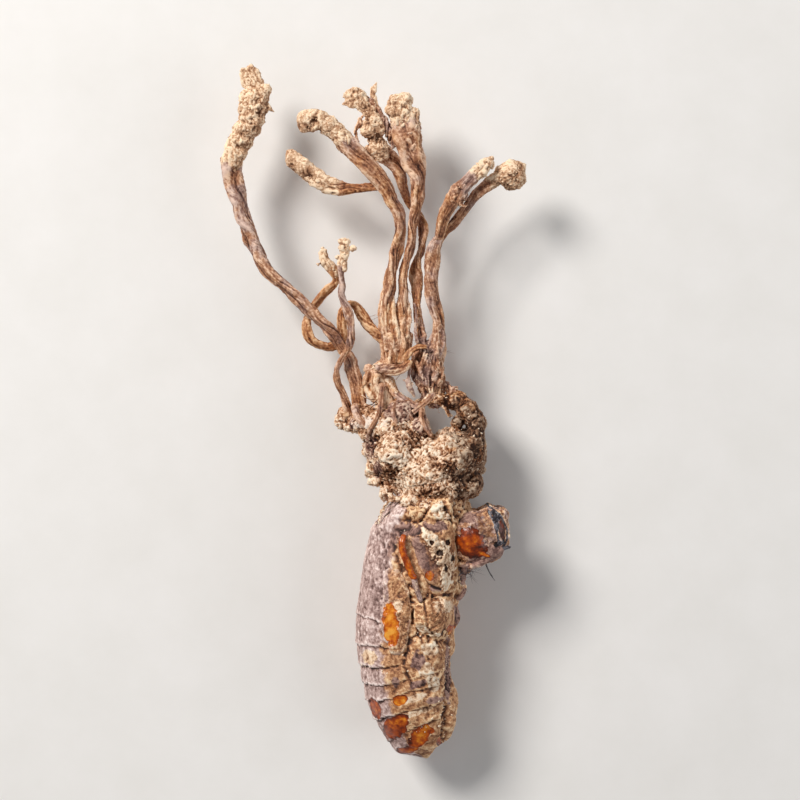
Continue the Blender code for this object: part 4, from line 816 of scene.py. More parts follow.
def dress_stalks(material):
    """Every stalk in place of its solid, each with its seed, its form and its heads."""
    stalks = (
        ("tall_stalk", "stalk_tall", TALL_STALK, 3, dict(head=11.5, fade=4.5, rust=(0.1, 0.6)), [TALL_HEAD]),
        ("loop_stalk", "stalk_loop", LOOP_STALK, 7,
         dict(head=2.4, fade=1.6, twist=0.3, sides=30, rust=(0.7, 0.9)), [LOOP_HEAD]),
        ("twisted_stalk", "stalk_twisted", TWISTED_STALK, 11,
         dict(head=3.0, fade=1.5, twist=0.5, sides=28, flat=0.75, rust=(0.0, 0.6)), [TWISTED_HEAD]),
        ("arched_stalk", "stalk_arched", ARCHED_STALK, 13,
         dict(head=5.5, fade=4.0, twist=0.1, rust=(0.4, 0.6)), [ARCHED_HEAD]),
        ("side_stalk", "stalk_side", SIDE_STALK, 17,
         dict(head=6.4, twist=0.08, rust=(0.2, 0.9)), [SIDE_HEAD]),
        ("cluster_stalk", "stalk_cluster", CLUSTER_STALK, 47,
         dict(head=4.0, twist=0.2, rust=(0.4, 0.7)), [CLUSTER_HEAD, CLUSTER_LEAF]),
        ("centre_stalk", "stalk_centre", CENTRE_STALK, 19,
         dict(head=3.0, fade=2.0, rust=(0.4, 0.6)), [CENTRE_HEAD]),
        ("forked_stem", "stalk_forked", FORKED_STEM, 23, dict(rust=(0.3, 0.5)), []),
        ("inner_branch", "branch_inner", INNER_BRANCH, 29,
         dict(head=2.6, fade=2.0), [INNER_HEAD, INNER_KNOT]),
        ("outer_branch", "branch_outer", OUTER_BRANCH, 31, dict(head=3.2, fade=1.6), [OUTER_HEAD]),
    )
    for name, node, route, seed, form, heads in stalks:
        parts = [strand(route, seed, **form)]
        for k, head in enumerate(heads):
            found = head_form(seed=seed + k, **head)
            skin = found[0]
            weight = 0.2 + wave(skin / 0.6, seed)
            crumbs = scattered(skin, weight, len(skin) // 60, 0.04, 0.13, seed, {"powder": 1.0, "tone": 0.6})
            parts += [found, crumbs]
        add_piece(name, parts, material, node)


# Columns, collar and crust

CENTRE_COLUMN = [
    [(2.3, 11.4, 6.4, 0.25), (2.3, 10.4, 6.4, 0.6), (2.35, 8.8, 6.35, 1.05), (2.45, 7.6, 6.3, 1.25),
     (2.35, 6.4, 6.2, 1.15), (2.0, 5.4, 6.1, 1.05), (1.6, 4.6, 6.0, 1.1)],
    [(1.9, 14.6, 6.6, 0.3), (1.6, 13.4, 6.6, 0.62), (1.4, 12.0, 6.6, 0.78), (1.3, 10.6, 6.6, 0.82),
     (1.4, 9.4, 6.5, 0.86), (1.6, 8.0, 6.45, 0.8), (1.7, 6.6, 6.4, 0.7)],
    [(3.35, 14.2, 6.4, 0.25), (3.3, 13.0, 6.4, 0.5), (3.15, 11.6, 6.35, 0.68), (3.1, 10.4, 6.35, 0.78),
     (3.15, 9.2, 6.4, 0.82), (3.1, 7.8, 6.4, 0.8), (2.8, 6.4, 6.4, 0.7)],
    [(1.0, 12.2, 7.2, 0.14), (0.9, 11.0, 7.3, 0.2), (1.0, 9.6, 7.35, 0.24), (1.3, 8.2, 7.35, 0.26),
     (1.4, 6.8, 7.2, 0.26)],
    [(2.2, 12.9, 7.0, 0.14), (2.15, 11.4, 7.15, 0.22), (2.3, 10.0, 7.3, 0.26), (2.6, 8.4, 7.4, 0.28),
     (2.6, 6.8, 7.3, 0.26)],
    [(3.9, 12.0, 6.6, 0.14), (3.95, 10.6, 6.7, 0.24), (3.8, 9.4, 6.8, 0.3), (3.7, 8.2, 6.9, 0.32)],
    [(0.7, 8.6, 6.3, 0.45), (1.1, 7.5, 6.3, 0.45), (1.1, 6.2, 6.2, 0.36), (1.0, 5.2, 6.1, 0.4)],
    [(3.9, 8.6, 6.4, 0.5), (3.8, 7.4, 6.4, 0.5), (3.4, 6.2, 6.2, 0.45), (2.9, 5.2, 6.1, 0.4)],
    [(1.9, 8.6, 7.3, 0.4), (2.1, 7.4, 7.4, 0.42), (2.0, 6.2, 7.1, 0.35), (1.7, 5.2, 7.0, 0.4)],
    [(1.3, 5.0, 6.0, 1.0), (0.6, 4.2, 5.9, 1.15), (0.5, 3.2, 5.9, 1.1), (0.9, 2.2, 5.8, 1.05),
     (1.2, 1.0, 5.8, 1.1), (1.4, 0.0, 5.7, 1.0)],
    [(-0.9, 4.9, 6.0, 0.4), (-0.4, 4.6, 6.2, 0.55), (0.1, 4.0, 6.2, 0.6)],
    [(-0.4, 4.4, 6.3, 0.42), (-0.9, 3.5, 6.3, 0.36), (-0.9, 2.6, 6.2, 0.33), (-0.4, 1.9, 6.2, 0.33),
     (0.2, 1.2, 6.1, 0.4)],
    [(0.5, 4.2, 7.0, 0.4), (0.2, 3.2, 7.1, 0.36), (0.6, 2.2, 7.1, 0.34), (0.7, 1.0, 6.9, 0.36)],
]
RIGHT_COLUMN = [
    [(7.1, 9.6, 6.4, 0.5), (7.1, 8.4, 6.35, 0.78), (6.9, 7.2, 6.2, 1.0), (6.5, 6.0, 6.1, 1.1)],
    [(4.9, 10.4, 6.1, 0.34), (5.1, 9.0, 6.1, 0.45), (5.3, 7.6, 6.1, 0.6), (5.5, 6.4, 6.1, 0.9)],
    [(5.9, 7.6, 6.1, 0.7), (5.9, 6.6, 6.1, 1.3), (5.85, 5.4, 6.1, 1.5), (6.0, 4.2, 6.0, 1.45),
     (6.3, 3.0, 6.0, 1.35), (6.6, 1.9, 6.0, 1.2), (6.9, 0.8, 6.0, 0.9)],
    [(4.7, 6.6, 6.5, 0.4), (4.4, 5.2, 6.5, 0.5), (4.6, 4.0, 6.5, 0.5), (5.1, 2.9, 6.5, 0.5),
     (5.6, 1.9, 6.4, 0.5), (5.4, 1.0, 6.3, 0.45)],
    [(7.3, 7.4, 6.2, 0.5), (7.4, 5.6, 6.2, 0.42), (7.4, 4.2, 6.2, 0.4), (7.7, 3.2, 6.2, 0.42),
     (8.3, 2.5, 6.1, 0.5), (9.0, 2.1, 6.0, 0.6)],
    [(5.2, 7.0, 7.3, 0.32), (5.9, 5.6, 7.45, 0.38), (6.6, 4.2, 7.4, 0.38), (7.3, 2.9, 7.1, 0.4)],
    [(4.7, 5.6, 7.1, 0.3), (5.2, 4.3, 7.3, 0.34), (5.9, 3.0, 7.3, 0.34), (6.5, 1.8, 7.0, 0.35)],
    [(6.9, 7.2, 7.1, 0.3), (6.9, 5.8, 7.3, 0.3), (7.2, 4.6, 7.2, 0.28), (7.6, 3.6, 6.9, 0.3)],
]
COLLAR_ROLL = [
    (0.1, 4.9, 7.3, 0.3), (0.5, 4.85, 7.6, 0.48), (1.3, 4.7, 7.9, 0.6), (2.3, 4.55, 8.0, 0.6),
    (3.2, 4.75, 8.0, 0.5), (3.8, 5.2, 7.9, 0.36), (4.1, 5.6, 7.8, 0.25),
]
COLLAR_STRAP = [
    (3.3, 5.3, 7.8, 0.2), (3.55, 6.0, 7.95, 0.26), (4.1, 6.7, 8.0, 0.3), (4.9, 7.1, 8.0, 0.28),
    (5.8, 7.15, 7.9, 0.2),
]
TATTERS = [
    [(4.0, 4.8, 7.6, 0.2), (3.9, 4.1, 7.8, 0.16), (3.8, 3.3, 7.9, 0.3), (4.0, 2.6, 7.9, 0.34),
     (4.3, 2.1, 7.8, 0.2), (4.5, 1.6, 7.7, 0.12)],
    [(3.2, 3.5, 7.7, 0.08), (3.7, 3.3, 7.8, 0.16), (4.2, 3.0, 7.8, 0.2)],
    [(4.8, 7.6, 7.0, 0.2), (4.6, 8.8, 7.0, 0.16), (4.7, 10.4, 6.9, 0.14), (4.5, 12.0, 6.9, 0.1)],
]
THREADS = [
    [(-1.3, 1.8, 6.6, 0.09), (-0.4, 1.4, 6.9, 0.08), (0.5, 1.35, 7.1, 0.1)],
    [(-0.9, 0.5, 6.8, 0.1), (-0.1, 0.9, 7.1, 0.08), (0.5, 1.5, 7.2, 0.09)],
    [(-0.6, -0.1, 6.9, 0.08), (0.0, 0.7, 7.2, 0.08), (0.9, 1.0, 7.2, 0.09)],
    [(-1.4, 2.6, 6.4, 0.1), (-0.9, 3.1, 6.6, 0.08), (-0.4, 3.2, 6.7, 0.08)],
]

# Strands that rise out of the crust and run into each column
CENTRE_CROWN = [
    [(1.0, 3.2, 7.0, 0.3), (0.86, 2.0, 7.3, 0.28), (0.75, 0.4, 7.9, 0.27), (0.3, -0.8, 9.3, 0.27),
     (-0.3, -1.8, 9.3, 0.24), (-0.5, -2.6, 8.4, 0.16)],
    [(1.8, 2.6, 6.6, 0.34), (3.05, 1.5, 6.9, 0.34), (4.4, 0.75, 7.1, 0.36), (5.3, 0.35, 7.3, 0.36),
     (5.25, -0.6, 7.5, 0.36), (5.6, -1.6, 8.1, 0.34), (6.3, -2.6, 7.8, 0.22)],
    [(-2.1, 0.9, 6.7, 0.4), (-1.8, -0.3, 7.4, 0.42), (-1.1, -1.3, 7.9, 0.4), (-0.2, -2.0, 7.8, 0.2)],
    [(2.8, 1.3, 7.0, 0.22), (2.2, 0.2, 8.5, 0.2), (2.4, -1.0, 9.4, 0.2), (3.1, -2.1, 8.6, 0.12)],
    [(3.3, 0.9, 7.4, 0.18), (4.0, -0.4, 8.0, 0.18), (4.7, -1.5, 7.4, 0.12)],
]
RIGHT_CROWN = [
    [(6.7, 2.1, 7.2, 0.32), (5.95, 1.2, 7.3, 0.28), (5.15, 0.55, 7.5, 0.26), (4.3, -0.1, 7.6, 0.26)],
]

CRUST_LUMPS = [
    (6.0, -6.2, 5.5, 5.5, 3.7, 5.9), (9.0, -4.8, 5.5, 3.4, 3.0, 5.4), (2.6, -4.4, 5.5, 3.2, 3.1, 5.9),
    (7.0, -8.4, 5.5, 4.6, 2.0, 5.8), (1.3, -1.8, 5.6, 3.1, 2.3, 4.1), (2.9, -0.2, 5.4, 1.9, 1.7, 3.2),
    (-3.2, -0.7, 5.3, 1.0, 1.4, 0.9), (-1.8, -1.4, 5.4, 1.3, 1.1, 1.6), (-0.9, -0.7, 5.6, 1.3, 1.6, 2.0),
    (5.0, 0.6, 5.8, 0.6, 0.9, 1.4), (4.9, -1.8, 5.7, 1.2, 1.4, 2.9), (6.9, 1.3, 6.0, 1.6, 0.65, 1.6),
    (9.0, 1.2, 6.0, 1.25, 1.0, 1.9), (10.3, 0.2, 5.9, 1.25, 1.25, 2.4), (11.3, -1.5, 5.8, 1.1, 1.4, 2.8),
    (10.0, 0.7, 5.9, 1.1, 1.0, 2.0), (10.9, -0.6, 5.8, 1.1, 1.2, 2.5), (11.2, -2.5, 5.8, 1.1, 1.3, 3.2),
    (10.9, -3.5, 5.7, 1.5, 1.6, 3.9), (9.1, -1.3, 6.3, 0.75, 0.75, 1.0), (7.2, -3.9, 5.6, 2.3, 1.1, 4.4),
    (0.4, -7.7, 6.3, 1.0, 0.5, 0.9), (0.0, -6.0, 5.4, 0.8, 1.2, 2.0), (11.9, -6.4, 5.8, 0.5, 0.4, 0.6),
    (-0.5, -4.0, 5.4, 0.8, 1.3, 2.2), (10.9, -8.0, 5.6, 1.1, 1.7, 3.4), (3.8, -8.6, 5.8, 1.2, 0.9, 3.6),
    (-1.2, -1.4, 7.0, 1.0, 0.6, 0.8), (9.6, 1.6, 6.2, 0.8, 0.7, 1.2), (-0.3, -2.6, 6.6, 0.7, 0.7, 1.2),
    (7.9, -9.7, 9.0, 1.3, 0.9, 0.9), (6.0, -10.1, 10.1, 1.3, 0.7, 0.7), (4.0, -9.8, 9.9, 1.0, 0.6, 0.6),
    (9.5, -9.5, 7.8, 0.9, 1.0, 1.0), (7.9, -9.7, 2.0, 1.3, 0.9, 0.9), (6.0, -10.1, 0.9, 1.3, 0.7, 0.7),
    (4.0, -9.8, 1.1, 1.0, 0.6, 0.6), (1.3, -8.9, 6.6, 0.7, 0.9, 2.2), (2.5, -9.5, 9.0, 0.9, 0.5, 0.6),
]
CRUST_RIBS = [
    [(9.2, -9.0, 8.6, 0.5), (9.6, -10.0, 8.2, 0.42), (9.7, -11.2, 8.0, 0.35), (9.4, -12.4, 8.3, 0.3)],
    [(5.4, -9.4, 10.2, 0.45), (6.6, -10.8, 10.7, 0.36), (7.6, -11.3, 10.6, 0.3), (8.6, -11.6, 10.0, 0.3)],
    [(2.0, -8.9, 8.8, 0.4), (1.6, -9.8, 9.4, 0.34), (0.8, -11.0, 9.2, 0.3), (0.6, -12.2, 9.4, 0.24)],
    [(1.7, 3.6, 6.4, 0.4), (2.2, 2.6, 6.6, 0.34), (3.0, 1.7, 6.7, 0.32), (4.0, 1.1, 6.8, 0.32),
     (5.0, 0.5, 6.9, 0.34), (5.6, -0.2, 7.0, 0.32), (5.55, -1.1, 7.2, 0.34), (5.7, -1.9, 7.4, 0.36),
     (6.2, -2.6, 7.6, 0.4)],
    [(6.3, 2.2, 6.6, 0.32), (5.7, 1.3, 6.8, 0.3), (5.0, 0.7, 6.9, 0.3), (4.4, 0.1, 6.9, 0.34)],
    [(6.5, 1.9, 6.9, 0.26), (7.1, 1.0, 7.0, 0.26), (7.9, 0.3, 7.0, 0.3), (8.4, -0.6, 7.0, 0.36)],
    [(-1.7, 0.9, 6.6, 0.4), (-1.5, -0.2, 6.9, 0.45), (-1.0, -1.0, 7.2, 0.5)],
]

# Patches of the crust: smooth ones, less smooth ones, paler, darker (the crust's own browner spots and
# painted shade in its crevices) and, with their strengths, white ones
CRUST_BARE = [(3.0, 0.1, 1.9, 1.2), (-3.3, -0.6, 1.2, 1.6)]
CRUST_WORN = [(5.2, -1.2, 0.9, 1.6), (-0.4, -3.6, 0.7, 1.8), (0.5, -6.4, 0.6, 1.2)]
CRUST_PALE = [(2.9, -4.9, 2.0, 1.2), (9.0, -3.2, 1.4, 0.9), (3.6, -7.6, 1.0, 0.7), (6.3, -3.6, 1.2, 0.7)]
CRUST_DARK = [
    (11.4, -5.2, 0.9, 3.0), (10.9, -1.4, 1.5, 2.0), (9.2, 1.0, 2.2, 0.9), (6.6, -8.8, 1.8, 0.8),
    (1.4, -6.6, 0.9, 1.5), (4.2, -2.9, 1.8, 0.6), (8.2, -6.0, 1.2, 0.8), (-3.3, -0.6, 1.2, 1.6),
    (0.2, -3.6, 0.8, 0.9), (9.4, -8.4, 1.0, 1.4),
]
CRUST_WHITE = [((-1.0, -1.1, 1.4, 0.75), 0.8), ((1.2, -1.2, 0.9, 0.5), 0.6)]


def dress_columns(material):
    """The two columns, with the torn strands that hang from them, and the collar strand.

    Each column holds its tubes, its seed and how powdery, ruddy, rough and pale it is.
    """
    columns = (
        ("centre_column", "column_centre", CENTRE_COLUMN, 37, (0.45, 0.55, 0.6, 0.9), [], CENTRE_CROWN),
        ("right_column", "column_right", RIGHT_COLUMN, 41, (0.24, 0.3, 1.1, 0.5), TATTERS, RIGHT_CROWN),
    )
    for name, node, tubes, seed, (crumbs, rust, rough, pale), torn, crown in columns:
        points, faces, normals = grown_form([], tubes, COLUMN_VOXEL)
        skin = points + normals * (rough * barky(points, seed))[:, None]
        cover = crumbs + 0.3 * ease(5.5, 0.5, points[:, 1]) + 0.35 * layered(points / 1.3, 3, seed + 3)
        tone = pale + 0.5 * wave(points * (1 / 0.8, 1 / 3.0, 1 / 0.8), seed)
        parts = [(skin, faces, {"tone": tone, "powder": cover, "rust": rust})]
        parts += [wisp(route, seed + k, 0.7, {"powder": 0.45, "tone": 0.45}) for k, route in enumerate(torn)]
        for k, route in enumerate(crown):
            found = strand(route, 81 + k, twist=0.3, sides=26, rust=(0.35, 0.35))
            found[2]["powder"] = 0.25 + 0.5 * wave(found[0] / 1.1, 90 + k)
            parts.append(found)
        weight = 0.1 + wave(skin / 0.6, seed)
        parts.append(scattered(skin, weight, 500, 0.03, 0.1, seed, {"powder": 0.7, "tone": 0.6}))
        parts.append(hairs(skin[::997], 40, 1.3, 0.03, seed, {"powder": 0.4, "tone": 0.6}))
        add_piece(name, parts, material, node)
    roll = strand(COLLAR_ROLL, 43, twist=0.5, sides=40, head=2.6, fade=2.0)
    # More powder on the roll's top paints it paler there: painted light from above.
    roll[2]["powder"] = 0.15 + 0.3 * ease(7.6, 8.4, roll[0][:, 2]) + 0.2 * wave(roll[0] / 0.9, 47)
    strap = strand(COLLAR_STRAP, 45, twist=0.3, sides=28, flat=0.7, rust=(0.6, 0.9))
    fray = [wisp([(x, y, 7.7, 0.12), (x - 0.3, y + 0.25, 7.8, 0.1), (x - 0.6, y + 0.1, 7.8, 0.05)], 46, 1.0,
                 {"powder": 0.7, "tone": 0.6}) for x, y in ((0.4, 4.9), (0.7, 4.4), (0.3, 4.6))]
    add_piece("collar_strand", [roll, strap, *fray], material, "strand_collar")


def dress_crust(material):
    """The crust, its loose crumbs and the thin threads at the foot of the stalks, in place of its solid."""
    points, faces, normals = grown_form(CRUST_LUMPS, CRUST_RIBS, CRUST_VOXEL, 9)
    x, y, _ = points.T
    worn = 0.8 * masked(points, CRUST_WORN, 3)
    bare = np.max([*(spot(points, *place) for place in CRUST_BARE), worn], axis=0)
    smooth = np.clip(bare + ease(-1.6, 0.2, y + 0.8 * wave(points / 1.5, 8))
                     + ease(8.6, 10.6, x + 0.8 * wave(points / 1.5, 9)), 0, 1)
    height, own = flaky(points, 5)
    deep = ease(0.35, 0.7, wave(points + 3.3, 17)) * (1 - smooth)
    skin = points + normals * (height * (1 - 0.5 * smooth) - 0.4 * deep)[:, None]
    skin[:, 2] = np.maximum(skin[:, 2], -LIFT)
    marks = {
        "bare": bare,
        "white": np.max([share * spot(points, *place) for place, share in CRUST_WHITE], axis=0),
        "tone": own,
        "rust": 0.5 + 0.3 * ease(-1.0, 1.2, y + 0.5 * wave(points / 1.2, 9)),
        "dusk": ease(6.5, 10.5, x + 1.2 * layered(points / 1.5, 3, 4)) + 0.2 * (y > -0.5),
        # shade lifts the pale patches and darkens the dark ones; some of the dark ones are painted shade in
        # crevices.
        "shade": 0.5 + 0.2 * masked(points, CRUST_PALE, 21, 0.8) - 0.5 * masked(points, CRUST_DARK, 31, 0.8),
    }
    weight = (0.15 + wave(skin / 0.7, 3)) * (1 - 0.8 * smooth)
    crumbs = scattered(skin, weight, 1500, 0.04, 0.17, 19, {"tone": 0.6, "shade": 0.5})
    threads = [wisp(np.array(route) * (1, 1, 1, 0.65), 7 + k, 1.0, {"rust": 0.6, "tone": 0.7})
               for k, route in enumerate(THREADS)]
    add_piece("crust", [(skin, faces, marks), crumbs, *threads], material, "fungus_crust")


# The nymph

# The body's ends, and the tip that its last rings close to over a length
BODY_TAIL = -38.2
BODY_FRONT = -6.3
BODY_TIP = -38.23
BODY_CLOSING = 1.4

# Its sections as y, back edge, belly edge, half depth and lean in degrees, and how round they are
BODY_SECTIONS = [
    (-6.3, 4.8, 8.0, 2.6, 0), (-7.4, 3.2, 9.4, 4.2, 0), (-9.2, 2.6, 10.3, 5.1, 0),
    (-10.9, 1.2, 10.6, 5.4, 0), (-12.5, 0.1, 10.4, 5.6, 0), (-15.2, -0.7, 10.0, 5.72, 0),
    (-18.0, -1.2, 9.5, 5.72, 0), (-20.8, -1.7, 9.2, 5.72, 0), (-23.2, -2.0, 9.0, 5.72, 0),
    (-25.4, -1.9, 8.6, 5.6, 2), (-28.4, -1.4, 8.3, 5.4, 4), (-31.6, -0.6, 8.8, 4.8, 9),
    (-33.7, 0.5, 9.1, 4.1, 12), (-35.6, 1.8, 8.8, 3.1, 16), (-36.7, 2.6, 8.4, 2.5, 18),
    (-37.5, 3.5, 7.7, 1.7, 18), (-37.9, 4.5, 6.8, 0.8, 18),
]
ROUND_ACROSS = 0.92
ROUND_UP = 0.88

# Cracks and seams as route, width, depth, darkness of their painted shade, and swellings as x, y, half x,
# half y, height, turn
BODY_LINES = [
    ([(2.4, -10.2), (1.7, -11.1), (1.1, -11.8), (0.6, -12.6)], 0.18, 0.3, 1.0),
    ([(2.0, -10.0), (1.3, -10.8)], 0.2, 0.25, 1.0),
    ([(-1.9, -27.9), (-0.8, -27.7), (1.3, -27.7), (3.0, -27.4)], 0.11, 0.16, 0.7),
    ([(4.1, -22.0), (4.1, -23.4), (3.9, -25.0), (3.6, -26.2)], 0.4, 0.36, 0.7),
    ([(3.6, -26.2), (3.3, -27.4), (3.7, -28.4), (4.1, -29.4)], 0.22, 0.22, 0.45),
    ([(6.6, -33.6), (5.2, -34.3), (4.2, -35.0), (3.4, -36.0)], 0.14, 0.2, 0.6),
    ([(8.0, -27.0), (7.9, -29.6), (7.9, -31.8), (7.8, -33.9), (7.6, -36.4)], 0.26, 0.4, 0.6),
    ([(4.4, -23.6), (5.3, -24.4), (6.4, -24.9), (7.6, -25.2)], 0.35, 0.4, 0.7),
    ([(1.4, -13.2), (1.0, -15.6), (0.9, -18.0), (0.8, -20.6)], 0.4, 0.16, 0.2),
    ([(4.0, -12.4), (3.2, -12.8), (2.6, -13.6), (2.4, -15.0), (3.0, -16.8)], 0.4, 0.3, 0.6),
    ([(3.4, -17.4), (4.0, -18.8), (4.3, -20.6), (4.2, -22.0)], 0.45, 0.36, 0.65),
    ([(8.8, -10.8), (9.2, -12.4), (9.5, -14.5), (9.6, -16.6), (9.4, -18.2)], 0.3, 0.35, 0.9),
    ([(5.6, -20.0), (7.2, -19.9), (8.8, -20.0)], 0.3, 0.3, 0.8),
    ([(7.7, -10.2), (8.0, -11.0), (8.5, -12.1)], 0.2, 0.5, 1.0),
    ([(8.5, -10.2), (8.9, -11.0), (9.3, -12.0)], 0.2, 0.5, 1.0),
    ([(6.0, -10.2), (5.7, -10.9), (5.2, -11.6)], 0.22, 0.45, 0.9),
    ([(3.2, -11.8), (4.6, -11.7), (5.6, -12.0)], 0.3, 0.4, 0.8),
    ([(2.6, -10.0), (3.4, -10.2), (4.4, -10.3)], 0.3, 0.4, 0.9),
]
BODY_SWELLS = [
    (6.0, -26.7, 1.8, 2.0, 0.5, 0), (5.6, -28.9, 1.6, 0.9, 0.3, 20), (6.3, -30.6, 1.4, 0.9, 0.3, 10),
    (-0.6, -17.0, 0.8, 5.0, 0.25, 0), (2.0, -11.7, 2.4, 0.7, 0.45, 42), (8.6, -32.6, 0.4, 2.8, 0.5, -3),
    (7.0, -10.8, 0.8, 1.0, 0.4, 0), (4.6, -11.0, 1.4, 0.6, 0.4, 15), (8.3, -11.2, 0.25, 1.4, 0.4, 20),
    (8.9, -25.6, 0.7, 1.0, 0.4, 0), (9.2, -18.9, 0.6, 1.6, 0.5, 0), (2.3, -15.6, 0.5, 1.2, 0.3, 0),
    (2.2, -28.7, 1.0, 0.7, 0.2, 10),
]

# The rear edges of the rings that lap over the next, from the back to the belly, and how far they stand out
RING_EDGES = [
    ([(-3, -22.0), (-1.8, -22.2), (0.9, -22.8), (2, -23.2)], 0.1),
    ([(-3, -25.6), (0.7, -25.4), (3, -25.9)], 0.14),
    ([(-3, -27.9), (-0.8, -27.7), (1.3, -27.7), (3.2, -27.4)], 0.2),
    ([(-3, -29.6), (0.4, -29.8), (2.9, -29.2), (5.4, -28.4), (8, -28.0)], 0.16),
    ([(-2, -31.9), (0.6, -31.6), (2.4, -30.9), (4.2, -30.2), (7.8, -29.6)], 0.2),
    ([(-1, -34.4), (1.2, -33.3), (3.2, -32.6), (5.6, -32.0), (7.8, -31.6)], 0.22),
    ([(1, -36.8), (2.6, -35.5), (4.0, -34.6), (5.6, -33.9), (7.8, -33.4)], 0.22),
]

# Spots of amber, of light in it, of clay and of dark skin, the last partly the skin's own purple-brown and
# partly painted shade in hollows
BODY_AMBER = [
    (0.25, -32.3, 0.55, 1.3, 18), (2.9, -31.2, 0.8, 0.6, 10), (2.4, -34.4, 1.15, 1.9, -38),
    (5.1, -35.4, 0.95, 1.6, -42), (7.2, -36.2, 0.3, 0.55, 0), (3.6, -37.1, 1.2, 0.5, 12),
]
AMBER_LIGHT = [(2.9, -31.3, 0.8, 0.6, 0), (5.4, -35.0, 1.3, 1.2, 0), (3.1, -33.7, 0.6, 0.6, 0)]
BODY_CLAY = [
    (-0.5, -26.7, 0.8, 0.8, 0), (7.0, -10.6, 0.8, 1.0, 0), (3.6, -9.6, 0.9, 0.5, 30),
    (6.2, -25.6, 1.0, 0.7, 0), (5.8, -28.0, 0.8, 0.8, 0), (5.0, -32.6, 1.6, 0.3, 15),
    (4.6, -31.0, 1.2, 0.4, 20), (3.6, -33.0, 1.3, 0.3, 15), (6.6, -29.6, 0.7, 0.9, 0),
]
BODY_DUSK = [
    (4.9, -26.9, 0.8, 1.0, 0), (3.3, -12.9, 1.5, 0.8, 20), (8.1, -28.5, 0.35, 3.5, 0),
    (2.4, -29.2, 0.35, 0.5, 0), (4.8, -29.5, 1.0, 0.4, 20), (2.0, -14.6, 0.4, 1.6, -10),
    (6.6, -31.3, 1.2, 0.35, 0),
]


def smoothed(values, width):
    """The values, each evened over its neighbours within the width."""
    kernel = np.exp(-np.linspace(-2, 2, width) ** 2)
    padded = np.pad(values, (width // 2, width - 1 - width // 2), mode="edge")
    return np.convolve(padded, kernel / kernel.sum(), mode="valid")


def body_profile(y):
    """The nymph's back edge, belly edge, half depth and lean at each y."""
    table = np.array(BODY_SECTIONS)[::-1]
    return [np.interp(y, table[:, 0], column) for column in table[:, 1:].T]


def flank_height(x, y):
    """Height of the smooth near flank over the given places."""
    back, belly, depth, _ = body_profile(y)
    across = np.clip(np.abs(2 * x - back - belly) / (belly - back), 0, 0.98) ** (1 / ROUND_ACROSS)
    return MIDDLE_HEIGHT + depth * (1 - across**2) ** (ROUND_UP / 2)


def body_grid():
    """The smooth body's rings from tail to front, the outward directions, and how far each place faces +X."""
    y = np.linspace(BODY_TAIL, BODY_FRONT, int((BODY_FRONT - BODY_TAIL) / (BODY_STEP * FINE)))[:, None]
    back, belly, depth, tilt = (smoothed(values, 15)[:, None] for values in body_profile(y[:, 0]))
    closing = np.sqrt(np.clip((y - BODY_TIP) / BODY_CLOSING, 0, 1))
    angle = np.linspace(0, 2 * math.pi, int(BODY_SIDES / FINE), endpoint=False)[None, :]
    x = (belly - back) / 2 * closing * np.sign(np.cos(angle)) * np.abs(np.cos(angle)) ** ROUND_ACROSS
    up = np.sign(np.sin(angle)) * np.abs(np.sin(angle)) ** ROUND_UP
    grid = np.stack([(back + belly) / 2 + x, y + x * np.tan(np.radians(tilt)),
                     MIDDLE_HEIGHT + depth * closing * up], axis=-1)
    around = np.roll(grid, -1, 1) - np.roll(grid, 1, 1)
    outward = np.cross(np.gradient(grid, axis=0), around).reshape(-1, 3)
    outward /= np.linalg.norm(outward, axis=-1)[:, None] + 1e-9
    return grid, outward, (np.cos(angle) + 0 * x).ravel()


def lapped(points):
    """The rings' height: each rises towards its rear edge, drops there and leaves a thin line of painted
    shade.
    """
    height = shade = 0.0
    wavering = points[:, 1] + 0.18 * layered(points / 1.1, 3, 51)
    for k, (route, lip) in enumerate(RING_EDGES):
        stops = np.array(route, float)
        past = wavering - np.interp(points[:, 0], *stops.T)
        inside = ease(stops[0, 0] - 0.5, stops[0, 0] + 0.5, points[:, 0])
        inside = inside * (1 - ease(stops[-1, 0] - 0.8, stops[-1, 0] + 0.4, points[:, 0]))
        inside = inside * (1 - 0.6 * ease(0.0, 2.5, points[:, 0]))
        height = height + lip * inside * np.where(past > 0, np.exp(-past / 0.8), -0.9 * np.exp(past / 0.35))
        broken = ease(-0.2, 0.5, layered(points / 1.2, 3, 53 + k))
        shade = np.maximum(shade, inside * broken * np.exp(-(((past + 0.06) / 0.1) ** 2)))
    return height, shade


